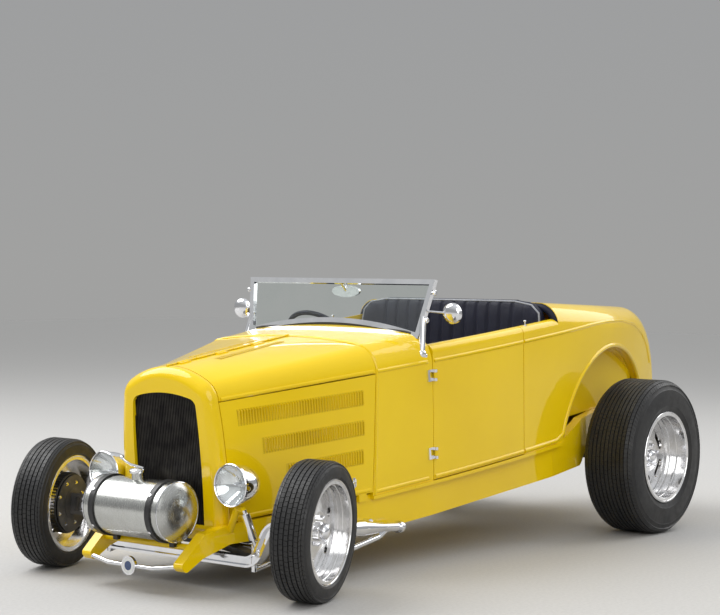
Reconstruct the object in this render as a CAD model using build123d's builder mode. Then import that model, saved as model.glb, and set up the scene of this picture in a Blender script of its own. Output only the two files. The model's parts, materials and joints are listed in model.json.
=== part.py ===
from build123d import *

import os
from math import cos, radians, sin, sqrt, tan

os.makedirs("parts", exist_ok=True)

# An open two-seat hot rod on an exposed frame, at its real size in millimetres.
# X runs forward, Y to the car's left and Z up. The origin is on the ground under the middle of the car.
# The body and frame sit nose down on small front and large rear tyres, so they are drawn in a raked
# frame of their own: u forward from the front axle, y to the left, w square to the frame rails.

# Stance and running gear
wheelbase = 2692
front_axle_x = 1558
rake = 6
rear_track = 1521
front_tyre_radius = 290
front_tyre_width = 165
front_tread = 100
front_rim_radius = 206
rear_tyre_radius = 400
rear_tyre_width = 289
rear_tread = 190
rear_rim_radius = 224
rim_wall = 8
rim_flange = 12
front_windows = 5
front_window_radius = 21
rear_windows = 5
rear_window = (104, 46)
window_circle = 130
steer_angle = 16
caster = 8
kingpin_y = 600
kingpin_radius = 12
boss_radius = 22
boss_height = 60
ear_thickness = 16
ear_gap = 1
spindle_radius = 18
running_fit = 0.05
drum_radius = 128
axle_level = 135
axle_bar = 46
rear_axle_radius = 38
differential_radius = 122
tie_rod_radius = 11
arm_reach = 150
stud_radius = 7

# Body, in the raked frame
floor_level = 256
floor_thickness = 16
belt_level = 829
door_top = 905
deck_level = 985
door_front = -1130
door_rear = -1820
cockpit_rear = -2140
tail_station = -3572
widest_station = -2100
widest_half = 628
cowl_half = 567
tail_half = 400
side_lean = 2.6
side_wall = 45
deck_wall = 28
deck_slope = 7.8
tail_radius = 500
deck_edge_radius = 115
door_roll_radius = 36
arch_radius = 565
lid_front = -2330
lid_low = 340
lid_front_half = 420
lid_rear_half = 300
lid_corner = 70
panel_gap = 5

# Hood, cowl and grille shell, in the raked frame
hood_gap = -752
hood_gap_lean = 3
hood_low = 290
shell_gap = 3
hood_wall = 14
hood_split = 10
hood_seam = 800
hood_seam_rear = 823
pin_radius = 2.5
barrel_radius = 5
hinge_lift = 4
louvre_pitch = 13.6
louvre_width = 10
louvre_rise = 5
top_louvre_width = 8
top_louvre_rise = 3
lid_hinge_lift = 6
end_knuckle = 13
door_pin_radius = 5
door_barrel_radius = 9
cowl_wall = 26
firewall = 24
cowl_lip = 85
tunnel_radius = 150
tunnel_wall = 6
tunnel_level = 215
shell_depth = 60
shell_edge_radius = 48
shell_wall = 22
shell_low = 262.5
grille_half = 190
grille_low = 276
grille_high = 835
grille_corner = 42
grille_bar = 3
grille_pitch = 9.5
grille_depth = 10

# Frame rails, in the raked frame
rail_width = 50
rail_height = 149
crossbar_radius = 14
badge_depth = 14

# Windshield, in the raked frame
screen_station = -1110
screen_level = 946
screen_lean = 19.6
screen_height = 254
screen_top_half = 547
screen_low_half = 504
screen_arch = 62
screen_bar = 24
glass_thickness = 6

# Cockpit, in the raked frame
seat_half = 520
cushion_top = 455
seat_top = 997
wheel_y = -290
steering_wheel_radius = 190
steering_rim = 12
column_radius = 20

# Front tank and lamps
tank_radius = 125
tank_half = 214
tank_dome = 34
tank_u = 239
tank_w = 376
strap_width = 26
strap_thickness = 7
lamp_x = 128
lamp_y = 372
lamp_z = 460
lamp_radius = 91
lamp_depth = 150

rear_axle_x = front_axle_x - wheelbase
slope = radians(rake)
body_forward = Vector(cos(slope), 0, -sin(slope))
body_up = Vector(sin(slope), 0, cos(slope))
body_frame = Plane(origin=(front_axle_x, 0, 0), x_dir=body_forward, z_dir=body_up)
sides = {"left": 1, "right": -1}


def spot(u, y, w):
    """A point of the raked frame, given in the car's frame."""
    return body_frame.from_local_coords(Vector(u, y, w))


def raked(point):
    """A point of the car's frame, given in the raked frame."""
    return body_frame.to_local_coords(point)


def across(u):
    """A plane square to the frame rails: its x is the car's left, its y is up."""
    return Plane(origin=spot(u, 0, 0), x_dir=(0, 1, 0), z_dir=body_forward)


def along(y=0):
    """A lengthwise plane: its x is forward, its y is up and it faces the car's right."""
    return Plane(origin=spot(0, y, 0), x_dir=body_forward, z_dir=(0, -1, 0))


def level(w):
    """A plane parallel to the floor: its x is forward and its y is the car's left."""
    return Plane(origin=spot(0, 0, w), x_dir=body_forward, z_dir=body_up)


def rod(start, end, radius, mode=Mode.ADD):
    """A round bar between two points."""
    run = Vector(*end) - Vector(*start)
    with Locations(Plane(origin=start, z_dir=run)):
        Cylinder(radius, run.length, align=(Align.CENTER, Align.CENTER, Align.MIN), mode=mode)


def block(u_span, y_span, w_span, mode=Mode.ADD):
    """A box in the raked frame, from the low to the high value of each span."""
    centre = spot(*[sum(span) / 2 for span in (u_span, y_span, w_span)])
    with Locations(Plane(origin=centre, x_dir=body_forward, z_dir=body_up)):
        Box(*[abs(span[1] - span[0]) for span in (u_span, y_span, w_span)], mode=mode)


def ring(plane, profile, mode=Mode.ADD):
    """A closed profile of distances along an axis and radii, turned round the axis (the plane's z)."""
    with BuildSketch(Plane(origin=plane.origin, x_dir=plane.z_dir, z_dir=plane.y_dir)) as section:
        with BuildLine():
            Polyline(*profile, close=True)
        make_face()
    revolve(section.sketch, axis=Axis(plane.origin, plane.z_dir), mode=mode)


# Frame: two boxed side rails with curved horns in front and a kick-up over the rear axle
rail_profile = [
    (-2170, floor_level),
    (-2450, 345),
    (-2950, 345),
    (-3440, 250),
    (-3520, 235),
    (-3520, 190),
    (-3340, 180),
    (-2950, 255),
    (-2600, 255),
    (-2400, floor_level - rail_height),
    (-860, floor_level - rail_height),
    (-330, 180),
    (30, 203),
    (190, 178),
    (292, 138),
    (322, 172),
    (170, 276),
    (30, 284),
    (-330, 280),
    (hood_gap - 10, 278),
    (hood_gap - 50, floor_level),
]
rail_plan = [
    (340, 292),
    (0, 306),
    (-750, 468),
    (door_front, 520),
    (widest_station, 580),
    (-2420, 560),
    (-2720, 500),
    (-3560, 450),
]
with BuildPart() as frame_rail_left:
    with BuildSketch(along()):
        with BuildLine():
            FilletPolyline(*rail_profile, radius=18, close=True)
        make_face()
    extrude(amount=700, both=True)
    with BuildSketch(level(0)):
        with BuildLine():
            inner_edge = [(u, y - rail_width) for u, y in reversed(rail_plan)]
            FilletPolyline(*rail_plan, *inner_edge, radius=12, close=True)
        make_face()
    extrude(amount=500, mode=Mode.INTERSECT)
frame_rail_left.part.label = "frame_rail_left"
export_step(frame_rail_left.part, "parts/frame_rail_left.step")

with BuildPart() as frame_rail_right:
    mirror(frame_rail_left.part, about=Plane.XZ)
frame_rail_right.part.label = "frame_rail_right"
export_step(frame_rail_right.part, "parts/frame_rail_right.step")

# Crossmembers: under the radiator, under the gearbox, ahead of the rear axle, over it and between the
# rear horns, and the round bar between the front horns that carries the tank
with BuildPart() as frame_crossmembers:
    for u_span, half, w_span in (
        ((-55, 25), 285, (205, 262)),
        ((-1290, -1230), 500, (108, 138)),
        ((-2260, -2200), 560, (196, 250)),
        ((-2900, -2850), 460, (270, 330)),
        ((-3400, -3350), 430, (190, 235)),
    ):
        block(u_span, (-half, half), w_span)
    rod(spot(205, -270, 222), spot(205, 270, 222), crossbar_radius)
    add(frame_rail_left.part, mode=Mode.SUBTRACT)
    add(frame_rail_right.part, mode=Mode.SUBTRACT)
frame_crossmembers.part.label = "frame_crossmembers"
export_step(frame_crossmembers.part, "parts/frame_crossmembers.step")

# Spreader bar: bent, between the front horns, with a blank round badge on it
front_bar = [(300, y, w) for y, w in ((243, 162), (130, 148), (-130, 148), (-243, 162))]
front_bar = [(300 if abs(y) > 200 else 318, y, w) for _, y, w in front_bar]
with BuildPart() as spreader_bar:
    with BuildLine() as spreader_path:
        FilletPolyline(*[spot(*point) for point in front_bar], radius=40)
    with BuildSketch(Plane(origin=spreader_path.wire() @ 0, z_dir=spreader_path.wire() % 0)):
        Circle(10)
    sweep(path=spreader_path.wire())
    add(frame_rail_left.part, mode=Mode.SUBTRACT)
    add(frame_rail_right.part, mode=Mode.SUBTRACT)
    with Locations(Plane(origin=spot(318, 0, 148), z_dir=(1, 0, 0))):
        Cylinder(40, badge_depth, align=(Align.CENTER, Align.CENTER, Align.MIN))
spreader_bar.part.label = "spreader_bar"
export_step(spreader_bar.part, "parts/spreader_bar.step")

# The body's skin: sides that lean out as they rise, on a plan of two long arcs, under a deck that slopes
# back and turns down into the tail
plan_front = -1000
plan_rear = tail_station - 120
body_low = floor_level + floor_thickness
side_rise = tan(radians(side_lean))
tilt = radians(deck_slope)
tail_centre = tail_station + tail_radius
deck_end = tail_centre - tail_radius * sin(tilt)
deck_end_level = deck_level - tan(tilt) * (cockpit_rear - deck_end)
tail_centre_level = deck_end_level - tail_radius * cos(tilt)


def half_width(u):
    """The body's half width at the belt, widest behind the doors."""
    if u > widest_station:
        share = (u - widest_station) / (door_front - widest_station)
        return widest_half - (widest_half - cowl_half) * share**2
    share = (u - widest_station) / (tail_station - widest_station)
    return widest_half - (widest_half - tail_half) * share**2


def body_plan(inset, w):
    """The body's outline seen from above at one level, drawn in by inset."""
    drawn_in = inset + (belt_level - w) * side_rise
    stops = [
        plan_front,
        (plan_front + widest_station) / 2,
        widest_station,
        (widest_station + plan_rear) / 2,
        plan_rear,
    ]
    left = [(u, half_width(u) - drawn_in) for u in stops]
    right = [(u, -y) for u, y in reversed(left)]
    with BuildSketch(level(w)) as plan:
        with BuildLine():
            ThreePointArc(*left[:3])
            ThreePointArc(*left[2:])
            Line(left[4], right[0])
            ThreePointArc(*right[:3])
            ThreePointArc(*right[2:])
            Line(right[4], left[0])
        make_face()
    return plan.sketch


def deck_outline(inset, front, low):
    """The deck and tail seen from the side, drawn in by inset."""
    reach = tail_radius - inset
    bend = (tail_centre - reach * sin(tilt), tail_centre_level + reach * cos(tilt))
    back = (tail_centre - reach, tail_centre_level)
    middle = radians(45 + deck_slope / 2)
    halfway = (tail_centre - reach * sin(middle), tail_centre_level + reach * cos(middle))
    with BuildSketch(along()) as outline:
        with BuildLine():
            Polyline((front, low), (front, bend[1] + tan(tilt) * (front - bend[0])), bend)
            ThreePointArc(bend, halfway, back)
            Polyline(back, (back[0], low), (front, low))
        make_face()
    return outline.sketch


def side_outline(front, rear, low, high):
    """A plain stretch of the body seen from the side."""
    with BuildSketch(along()) as outline:
        with BuildLine():
            Polyline((front, low), (front, high), (rear, high), (rear, low), close=True)
        make_face()
    return outline.sketch


def upper_edges(solid, low, rear):
    """The long edges on both sides above one level and behind one station."""
    edges = []
    for edge in solid.edges():
        centre = raked(edge.center())
        if abs(centre.Y) > 250 and centre.Z > low and centre.X < rear:
            edges.append(edge)
    return edges


with BuildPart() as deck_outer:
    extrude(body_plan(0, body_low), amount=1000, taper=-side_lean)
    extrude(deck_outline(0, cockpit_rear, body_low), amount=800, both=True, mode=Mode.INTERSECT)
    fillet(upper_edges(deck_outer, body_low + 20, cockpit_rear - 10), radius=deck_edge_radius)

with BuildPart() as deck_inner:
    extrude(body_plan(side_wall, body_low - 10), amount=1000, taper=-side_lean)
    extrude(deck_outline(deck_wall, cockpit_rear + 10, body_low - 10), amount=800, both=True, mode=Mode.INTERSECT)
    fillet(upper_edges(deck_inner, body_low + 20, cockpit_rear - 10), radius=deck_edge_radius - deck_wall)

with BuildPart() as waist_outer:
    extrude(body_plan(0, body_low), amount=1000, taper=-side_lean)
    extrude(side_outline(plan_front, cockpit_rear, body_low, door_top), amount=800, both=True, mode=Mode.INTERSECT)
    fillet(upper_edges(waist_outer, door_top - 5, plan_front - 10), radius=door_roll_radius)

with BuildPart() as waist_inner:
    extrude(body_plan(side_wall, body_low - 10), amount=1000, taper=-side_lean)
    extrude(
        side_outline(plan_front + 10, cockpit_rear - 10, body_low - 10, door_top + 10),
        amount=800,
        both=True,
        mode=Mode.INTERSECT,
    )

with BuildPart() as skin:
    add(deck_outer.part)
    add(deck_inner.part, mode=Mode.SUBTRACT)
    with BuildPart(mode=Mode.PRIVATE) as waist:
        add(waist_outer.part)
        add(waist_inner.part, mode=Mode.SUBTRACT)
    add(waist.part)

# Decklid: cut from the skin, from behind the cockpit to low on the tail, hinged at its front edge
with BuildPart() as lid_zone:
    with BuildSketch(level(lid_low)):
        with BuildLine():
            FilletPolyline(
                (lid_front, lid_front_half),
                (plan_rear, lid_rear_half),
                (plan_rear, -lid_rear_half),
                (lid_front, -lid_front_half),
                radius=lid_corner,
                close=True,
            )
        make_face()
    extrude(amount=800)
with BuildPart() as lid_opening:
    with BuildSketch(level(lid_low - panel_gap)):
        with BuildLine():
            FilletPolyline(
                (lid_front + panel_gap, lid_front_half + panel_gap),
                (plan_rear, lid_rear_half + panel_gap),
                (plan_rear, -lid_rear_half - panel_gap),
                (lid_front + panel_gap, -lid_front_half - panel_gap),
                radius=lid_corner,
                close=True,
            )
        make_face()
    extrude(amount=800)
lid_pin_u = lid_front + panel_gap / 2
lid_pin_w = deck_level + tan(tilt) * (lid_pin_u - cockpit_rear) + lid_hinge_lift
lid_knuckle = 44
lid_hinges = (-230, 230)
with BuildPart() as decklid:
    add(skin.part)
    add(lid_zone.part, mode=Mode.INTERSECT)
    for y in lid_hinges:
        rod(
            spot(lid_pin_u, y - lid_knuckle / 2, lid_pin_w),
            spot(lid_pin_u, y + lid_knuckle / 2, lid_pin_w),
            barrel_radius,
        )
        with Locations(Plane(origin=spot(lid_pin_u - 12, y, lid_pin_w - 5), x_dir=body_forward, z_dir=body_up)):
            Box(20, lid_knuckle, 8, rotation=(0, -deck_slope, 0))
        rod(spot(lid_pin_u, y - 60, lid_pin_w), spot(lid_pin_u, y + 60, lid_pin_w), pin_radius + running_fit, Mode.SUBTRACT)
decklid.part.label = "decklid"
export_step(decklid.part, "parts/decklid.step")

# Rear body: the quarters and the tail, with the lid's opening and round wheel arches on the rear axle
rear_axle = raked(Vector(rear_axle_x, 0, rear_tyre_radius))
with BuildPart() as rear_body:
    add(skin.part)
    add(lid_opening.part, mode=Mode.SUBTRACT)
    block((door_rear, plan_front + 50), (-700, 700), (0, 1100), mode=Mode.SUBTRACT)
    for sign in sides.values():
        rod(
            spot(rear_axle.X, 400 * sign, rear_axle.Z),
            spot(rear_axle.X, 800 * sign, rear_axle.Z),
            arch_radius,
            Mode.SUBTRACT,
        )
    add(frame_rail_left.part, mode=Mode.SUBTRACT)
    add(frame_rail_right.part, mode=Mode.SUBTRACT)
rear_body.part.label = "rear_body"
export_step(rear_body.part, "parts/rear_body.step")

# Lid hinges: pins between two end knuckles on the deck, just ahead of the lid
with BuildPart() as lid_hinge:
    for y in lid_hinges:
        half = lid_knuckle / 2 + 1 + end_knuckle
        rod(spot(lid_pin_u, y - half, lid_pin_w), spot(lid_pin_u, y + half, lid_pin_w), pin_radius)
        for low, high in ((y - half, y - half + end_knuckle), (y + half - end_knuckle, y + half)):
            rod(spot(lid_pin_u, low, lid_pin_w), spot(lid_pin_u, high, lid_pin_w), barrel_radius)
            with Locations(
                Plane(origin=spot(lid_pin_u + 12, (low + high) / 2, lid_pin_w - 4), x_dir=body_forward, z_dir=body_up)
            ):
                Box(20, end_knuckle, 8, rotation=(0, -deck_slope, 0))
    add(rear_body.part, mode=Mode.SUBTRACT)
lid_hinge.part.label = "lid_hinge"
export_step(lid_hinge.part, "parts/lid_hinge.step")

# Wheelhouses: a shallow drum behind each arch, closed on its inner side
with BuildPart() as wheelhouses:
    for sign in sides.values():
        inner = 448 * sign
        rod(spot(rear_axle.X, inner, rear_axle.Z), spot(rear_axle.X, 620 * sign, rear_axle.Z), arch_radius)
        rod(
            spot(rear_axle.X, inner + 12 * sign, rear_axle.Z),
            spot(rear_axle.X, 700 * sign, rear_axle.Z),
            arch_radius - 12,
            Mode.SUBTRACT,
        )
    block((rear_axle.X - 700, rear_axle.X + 700), (-700, 700), (-600, 346), mode=Mode.SUBTRACT)
    with BuildPart(mode=Mode.PRIVATE) as outside:
        block((plan_rear - 100, plan_front), (-900, 900), (0, 1100))
        extrude(body_plan(side_wall, 0), amount=1100, taper=-side_lean, mode=Mode.SUBTRACT)
    add(outside.part, mode=Mode.SUBTRACT)
wheelhouses.part.label = "wheelhouses"
export_step(wheelhouses.part, "parts/wheelhouses.step")

# Doors: panels as thick as the wall, on two barrel hinges at the front whose line leans with the side
door_low = body_low + panel_gap
door_lean = radians(side_lean)
door_pin_offset = 14
door_pin_run = {side: body_up * cos(door_lean) + Vector(0, sin(door_lean) * sign, 0) for side, sign in sides.items()}
hinge_levels = (403, 766)
door_knuckle = 26


def door_skin(w):
    """The door's outer face at its front edge, as a half width."""
    return half_width(door_front) - (belt_level - w) * side_rise


def hinge_arm(u_span, w, height, sign, mode=Mode.ADD):
    """A hinge leaf on the skin with its arm out to the barrel."""
    skin_y = door_skin(w)
    near, far = sorted(u_span, key=lambda value: abs(value - door_front))
    for reach, out in ((far, 5), (near + (far - near) * 0.25, door_pin_offset + 5)):
        y_span = sorted(((skin_y - 6) * sign, (skin_y + out) * sign))
        block(sorted((near, reach)), y_span, (w - height / 2, w + height / 2), mode)


with BuildPart() as door_left:
    add(waist_outer.part)
    add(waist_inner.part, mode=Mode.SUBTRACT)
    with BuildPart(mode=Mode.PRIVATE) as doorway:
        block((door_rear + panel_gap, door_front), (200, 700), (door_low, door_top))
    add(doorway.part, mode=Mode.INTERSECT)
    for w in hinge_levels:
        middle = spot(door_front, door_skin(w) + door_pin_offset, w)
        run = door_pin_run["left"]
        hinge_arm((door_front - 1, door_front - 44), w, door_knuckle, 1)
        rod(middle - run * door_knuckle / 2, middle + run * door_knuckle / 2, door_barrel_radius)
        rod(middle - run * 60, middle + run * 60, door_pin_radius + running_fit, Mode.SUBTRACT)
door_left.part.label = "door_left"
export_step(door_left.part, "parts/door_left.step")

with BuildPart() as door_right:
    mirror(door_left.part, about=Plane.XZ)
door_right.part.label = "door_right"
export_step(door_right.part, "parts/door_right.step")

# Hood and cowl sections: station, half width at the floor, at mid height and at the belt, belt level,
# half width and level where the shoulder meets the crown, crown level
side_mid_level = 550
hood_sections = [
    (shell_gap - panel_gap, 284, 288, 264, 800, 207, 891, 946),
    (hood_gap - 40, 500, 514, 526, 829, 412, 949, 974),
]
cowl_sections = [
    (hood_gap + 40, 480, 496, 507, 828, 396, 948, 973),
    (door_front - 110, 557, 572, 583, 829, 455, 965, 989),
]


def arch_section(row, side_inset, top_inset, low, shift=0):
    """A closed section of the hood or cowl at its station: two sides, two shoulders and a crown."""
    u, half_low, half_mid, half_belt, belt, half_shoulder, shoulder, crown = row
    foot = (half_low - side_inset, low)
    middle = (half_mid - side_inset, side_mid_level)
    waist_point = (half_belt - side_inset, belt)
    bend = (half_shoulder - side_inset / 2, shoulder - top_inset)
    with BuildSketch(across(u + shift)) as section:
        with BuildLine():
            ThreePointArc(foot, middle, waist_point)
            TangentArc(waist_point, bend, tangent=(0, 1))
            ThreePointArc(bend, (0, crown - top_inset), (-bend[0], bend[1]))
            TangentArc((-waist_point[0], waist_point[1]), (-bend[0], bend[1]), tangent=(0, 1))
            ThreePointArc((-waist_point[0], waist_point[1]), (-middle[0], middle[1]), (-foot[0], foot[1]))
            Line((-foot[0], foot[1]), foot)
        make_face()
    return section.sketch.face()


def gap_plane(shift):
    """The leaning gap between hood and cowl, moved forward by shift."""
    lean = radians(hood_gap_lean)
    normal = body_forward * cos(lean) + body_up * sin(lean)
    return Plane(origin=spot(hood_gap + shift, 0, 600), x_dir=(0, 1, 0), z_dir=normal)


# Hood: two louvred sides that stay put on feet, and two tops that swing up about a hinge along the
# centre line. Each knuckle of the hinge belongs to the left or the right top, in turn.
crown_front = Vector(hood_sections[0][0], 0, hood_sections[0][7])
crown_rear = Vector(hood_sections[1][0], 0, hood_sections[1][7])
crown_run = (crown_front - crown_rear).normalized()
knuckle_length = 64


def hood_hinge_point(u):
    """A point of the hood's hinge line at one station."""
    share = (u - crown_front.X) / (crown_rear.X - crown_front.X)
    return spot(u, 0, crown_front.Z + share * (crown_rear.Z - crown_front.Z) + hinge_lift)


def seam_zone(high):
    """Everything above or below the seam between a hood top and its side, less half the gap."""
    shift = panel_gap / 2 if high else -panel_gap / 2
    far = 1300 if high else -100
    with BuildSketch(along()) as zone:
        with BuildLine():
            Polyline(
                (60, hood_seam + shift),
                (hood_gap - 60, hood_seam_rear + shift),
                (hood_gap - 60, far),
                (60, far),
                close=True,
            )
        make_face()
    return zone.sketch


with BuildPart() as hood_shell:
    loft([arch_section(row, 0, 0, floor_level) for row in hood_sections])
    front, rear = hood_sections
    loft(
        [
            arch_section(front, hood_wall, hood_wall, floor_level - 20, shift=1),
            arch_section(rear, hood_wall, hood_wall, floor_level - 20, shift=-1),
        ],
        mode=Mode.SUBTRACT,
    )
    block((-1200, 100), (-900, hood_split / 2), (0, 1200), mode=Mode.SUBTRACT)
    with BuildSketch(gap_plane(panel_gap / 2)):
        Rectangle(2400, 2400)
    extrude(amount=-400, mode=Mode.SUBTRACT)

# Louvres: rows of pressed blades, first and last station, lower and upper edge. Each blade rises towards
# its rear edge. The sides have three rows, and each top has one along the crown.
side_louvres = [(-80, -690, 690, 757), (-182, -690, 556, 622), (-292, -682, 427, 492)]
top_louvres = (-210, -640, 62, 100)


def hood_skin(u, w):
    """The hood side's half width at a station and level."""
    front, rear = hood_sections
    share = (u - front[0]) / (rear[0] - front[0])
    low, middle, high = (front[k] + share * (rear[k] - front[k]) for k in (1, 2, 3))
    belt = front[4] + share * (rear[4] - front[4])
    part = (w - floor_level) / (belt - floor_level)
    half = (side_mid_level - floor_level) / (belt - floor_level)
    bulge = (middle - low - (high - low) * half) / (half * (1 - half))
    return low + (high - low) * part + bulge * part * (1 - part)


def louvre(length, width, rise):
    """One blade on the plane z = 0 with its length along Y, its back edge towards -X."""
    with BuildPart(mode=Mode.PRIVATE) as blade:
        with BuildSketch(Plane.XY.offset(-3)):
            Rectangle(width, length)
        with BuildSketch(Plane.XY.offset(rise)):
            with Locations((width * -0.28, 0)):
                Rectangle(width * 0.4, length - 12)
        loft()
    return blade.part


def louvre_row(plane, run, length, width, rise):
    """The blades of one row, laid along the plane's X from its origin."""
    blade = louvre(length, width, rise)
    places = [Location((k * louvre_pitch, 0, 0)) for k in range(int(run / louvre_pitch) + 1)]
    return [plane.location * place * blade for place in places]


def crown_level(u, y):
    """The hood's height near its centre line, on the crown's arc."""
    front, rear = hood_sections
    share = (u - front[0]) / (rear[0] - front[0])
    half, shoulder, crown = (front[k] + share * (rear[k] - front[k]) for k in (5, 6, 7))
    radius = (half * half + (crown - shoulder) ** 2) / (2 * (crown - shoulder))
    return crown - radius + sqrt(radius * radius - y * y)


with BuildPart() as hood_side_left:
    add(hood_shell.part)
    extrude(seam_zone(False), amount=900, both=True, mode=Mode.INTERSECT)
    with BuildPart(mode=Mode.PRIVATE) as feet_gaps:
        block((-1200, 100), (-900, 900), (0, hood_low))
        for u in (-60, -370, -680):
            block((u - 20, u + 20), (-900, 900), (0, hood_low), mode=Mode.SUBTRACT)
    add(feet_gaps.part, mode=Mode.SUBTRACT)
    add(frame_rail_left.part, mode=Mode.SUBTRACT)
    for first, last, low, high in side_louvres:
        middle = (low + high) / 2
        near = spot(first, hood_skin(first, middle), middle)
        far = spot(last, hood_skin(last, middle), middle)
        top = spot(last, hood_skin(last, high), high)
        outward = (top - far).cross(near - far)
        row_plane = Plane(origin=far, x_dir=near - far, z_dir=outward)
        add(louvre_row(row_plane, (near - far).length, high - low, louvre_width, louvre_rise))
hood_side_left.part.label = "hood_side_left"
export_step(hood_side_left.part, "parts/hood_side_left.step")

with BuildPart() as hood_side_right:
    mirror(hood_side_left.part, about=Plane.XZ)
hood_side_right.part.label = "hood_side_right"
export_step(hood_side_right.part, "parts/hood_side_right.step")

hood_tops = {}
for side, sign in sides.items():
    with BuildPart() as hood_top:
        if side == "left":
            add(hood_shell.part)
        else:
            mirror(hood_shell.part, about=Plane.XZ)
        extrude(seam_zone(True), amount=900, both=True, mode=Mode.INTERSECT)
        for station in (-75, -315, -555):
            u = station - (120 if sign < 0 else 0)
            near = hood_hinge_point(u + knuckle_length / 2)
            far = hood_hinge_point(u - knuckle_length / 2)
            rod(far, near, barrel_radius)
            with Locations(Plane(origin=(near + far) / 2 + Vector(0, 12 * sign, -2), x_dir=near - far, z_dir=(0, 1, 0))):
                Box(knuckle_length, 5, 20)
        rod(hood_hinge_point(-800), hood_hinge_point(60), pin_radius + running_fit, Mode.SUBTRACT)
        first, last, near_y, far_y = top_louvres
        middle = (near_y + far_y) / 2 * sign
        near = spot(first, middle, crown_level(first, middle))
        far = spot(last, middle, crown_level(last, middle))
        inner = spot(last, near_y * sign, crown_level(last, near_y))
        outward = (near - far).cross(inner - far) * sign
        row_plane = Plane(origin=far, x_dir=near - far, z_dir=-outward if outward.Z < 0 else outward)
        add(louvre_row(row_plane, (near - far).length, far_y - near_y, top_louvre_width, top_louvre_rise))
    hood_top.part.label = "hood_top_" + side
    export_step(hood_top.part, "parts/hood_top_" + side + ".step")
    hood_tops[side] = hood_top

# Cowl: an arched box with the firewall in front, open to the cockpit under a curved rear lip
with BuildPart() as cowl:
    loft([arch_section(row, 0, 0, body_low) for row in cowl_sections])
    with BuildPart(mode=Mode.PRIVATE) as cowl_inner:
        loft([arch_section(row, side_wall, cowl_wall, body_low - 20) for row in cowl_sections])
        with BuildSketch(gap_plane(-panel_gap / 2 - firewall)):
            Rectangle(2400, 2400)
        extrude(amount=400, mode=Mode.SUBTRACT)
    add(cowl_inner.part, mode=Mode.SUBTRACT)
    with BuildSketch(gap_plane(-panel_gap / 2)):
        Rectangle(2400, 2400)
    extrude(amount=400, mode=Mode.SUBTRACT)
    with BuildSketch(level(0)):
        with BuildLine():
            edge = door_front + panel_gap
            lip = door_front - cowl_lip
            Line((edge, 700), (edge, 500))
            ThreePointArc((edge, 500), (lip, 0), (edge, -500))
            Polyline((edge, -500), (edge, -700), (edge - 300, -700), (edge - 300, 700), (edge, 700))
        make_face()
    extrude(amount=1100, mode=Mode.SUBTRACT)
    rod(spot(-1300, 0, tunnel_level), spot(-700, 0, tunnel_level), tunnel_radius, Mode.SUBTRACT)
    add(frame_rail_left.part, mode=Mode.SUBTRACT)
    add(frame_rail_right.part, mode=Mode.SUBTRACT)
cowl.part.label = "cowl"
export_step(cowl.part, "parts/cowl.step")

# Fixed halves of the hinges: the doors' pins on the cowl and the hood's pin from shell to cowl
with BuildPart() as door_hinges:
    for side, sign in sides.items():
        run = door_pin_run[side]
        for w in hinge_levels:
            middle = spot(door_front, (door_skin(w) + door_pin_offset) * sign, w)
            half = door_knuckle / 2 + 1 + end_knuckle
            rod(middle - run * half, middle + run * half, door_pin_radius)
            for turn in (-1, 1):
                rod(middle + run * turn * (half - end_knuckle), middle + run * turn * half, door_barrel_radius)
                skin_y = door_skin(w)
                w_span = sorted((w + turn * (half - end_knuckle), w + turn * half))
                y_span = sorted(((skin_y + 3) * sign, (skin_y + door_pin_offset) * sign))
                block((door_front - 2, door_front + 9), y_span, w_span)
            block(
                (door_front + panel_gap + 1, door_front + 42),
                sorted(((door_skin(w) - 6) * sign, (door_skin(w) + 4) * sign)),
                (w - half, w + half),
            )
    add(cowl.part, mode=Mode.SUBTRACT)
door_hinges.part.label = "door_hinges"
export_step(door_hinges.part, "parts/door_hinges.step")

# Dashboard: a panel across the cockpit under the cowl's lip
dash_station = door_front - 10
dash_low = 730
with BuildPart() as dashboard:
    add(cowl_inner.part)
    with BuildPart(mode=Mode.PRIVATE) as dash_zone:
        block((dash_station - 22, dash_station), (-512, 512), (dash_low, 1100))
    add(dash_zone.part, mode=Mode.INTERSECT)
dashboard.part.label = "dashboard"
export_step(dashboard.part, "parts/dashboard.step")

# Floor: a plate on the rails whose edge shows under the doors as the sill, with the gearbox tunnel
with BuildPart() as floor:
    loft([arch_section(row, -4, 0, floor_level) for row in cowl_sections])
    extrude(body_plan(-4, floor_level), amount=60, taper=-side_lean)
    with BuildPart(mode=Mode.PRIVATE) as plate_zone:
        block((tail_station + 30, -900), (-700, 700), (floor_level, body_low))
        with BuildSketch(gap_plane(-panel_gap / 2)):
            Rectangle(2400, 2400)
        extrude(amount=-300)
    add(plate_zone.part, mode=Mode.INTERSECT)
    block((-5000, 100), (-900, 900), (body_low, 2000), mode=Mode.SUBTRACT)
    rod(spot(-1400, 0, tunnel_level), spot(-758, 0, tunnel_level), tunnel_radius)
    rod(spot(-1400 + tunnel_wall, 0, tunnel_level), spot(-700, 0, tunnel_level), tunnel_radius - tunnel_wall, Mode.SUBTRACT)
    block((-1500, -600), (-300, 300), (0, floor_level), mode=Mode.SUBTRACT)
    for sign in sides.values():
        rod(
            spot(rear_axle.X, 440 * sign, rear_axle.Z),
            spot(rear_axle.X, 800 * sign, rear_axle.Z),
            arch_radius + 1,
            Mode.SUBTRACT,
        )
    add(frame_rail_left.part, mode=Mode.SUBTRACT)
    add(frame_rail_right.part, mode=Mode.SUBTRACT)
    add(frame_crossmembers.part, mode=Mode.SUBTRACT)
floor.part.label = "floor"
export_step(floor.part, "parts/floor.step")

# Grille shell: the hood's own outline drawn forward, rounded in front, with a tall opening
shell_front = shell_gap + shell_depth - 5
shell_plate = shell_front - shell_wall


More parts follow.
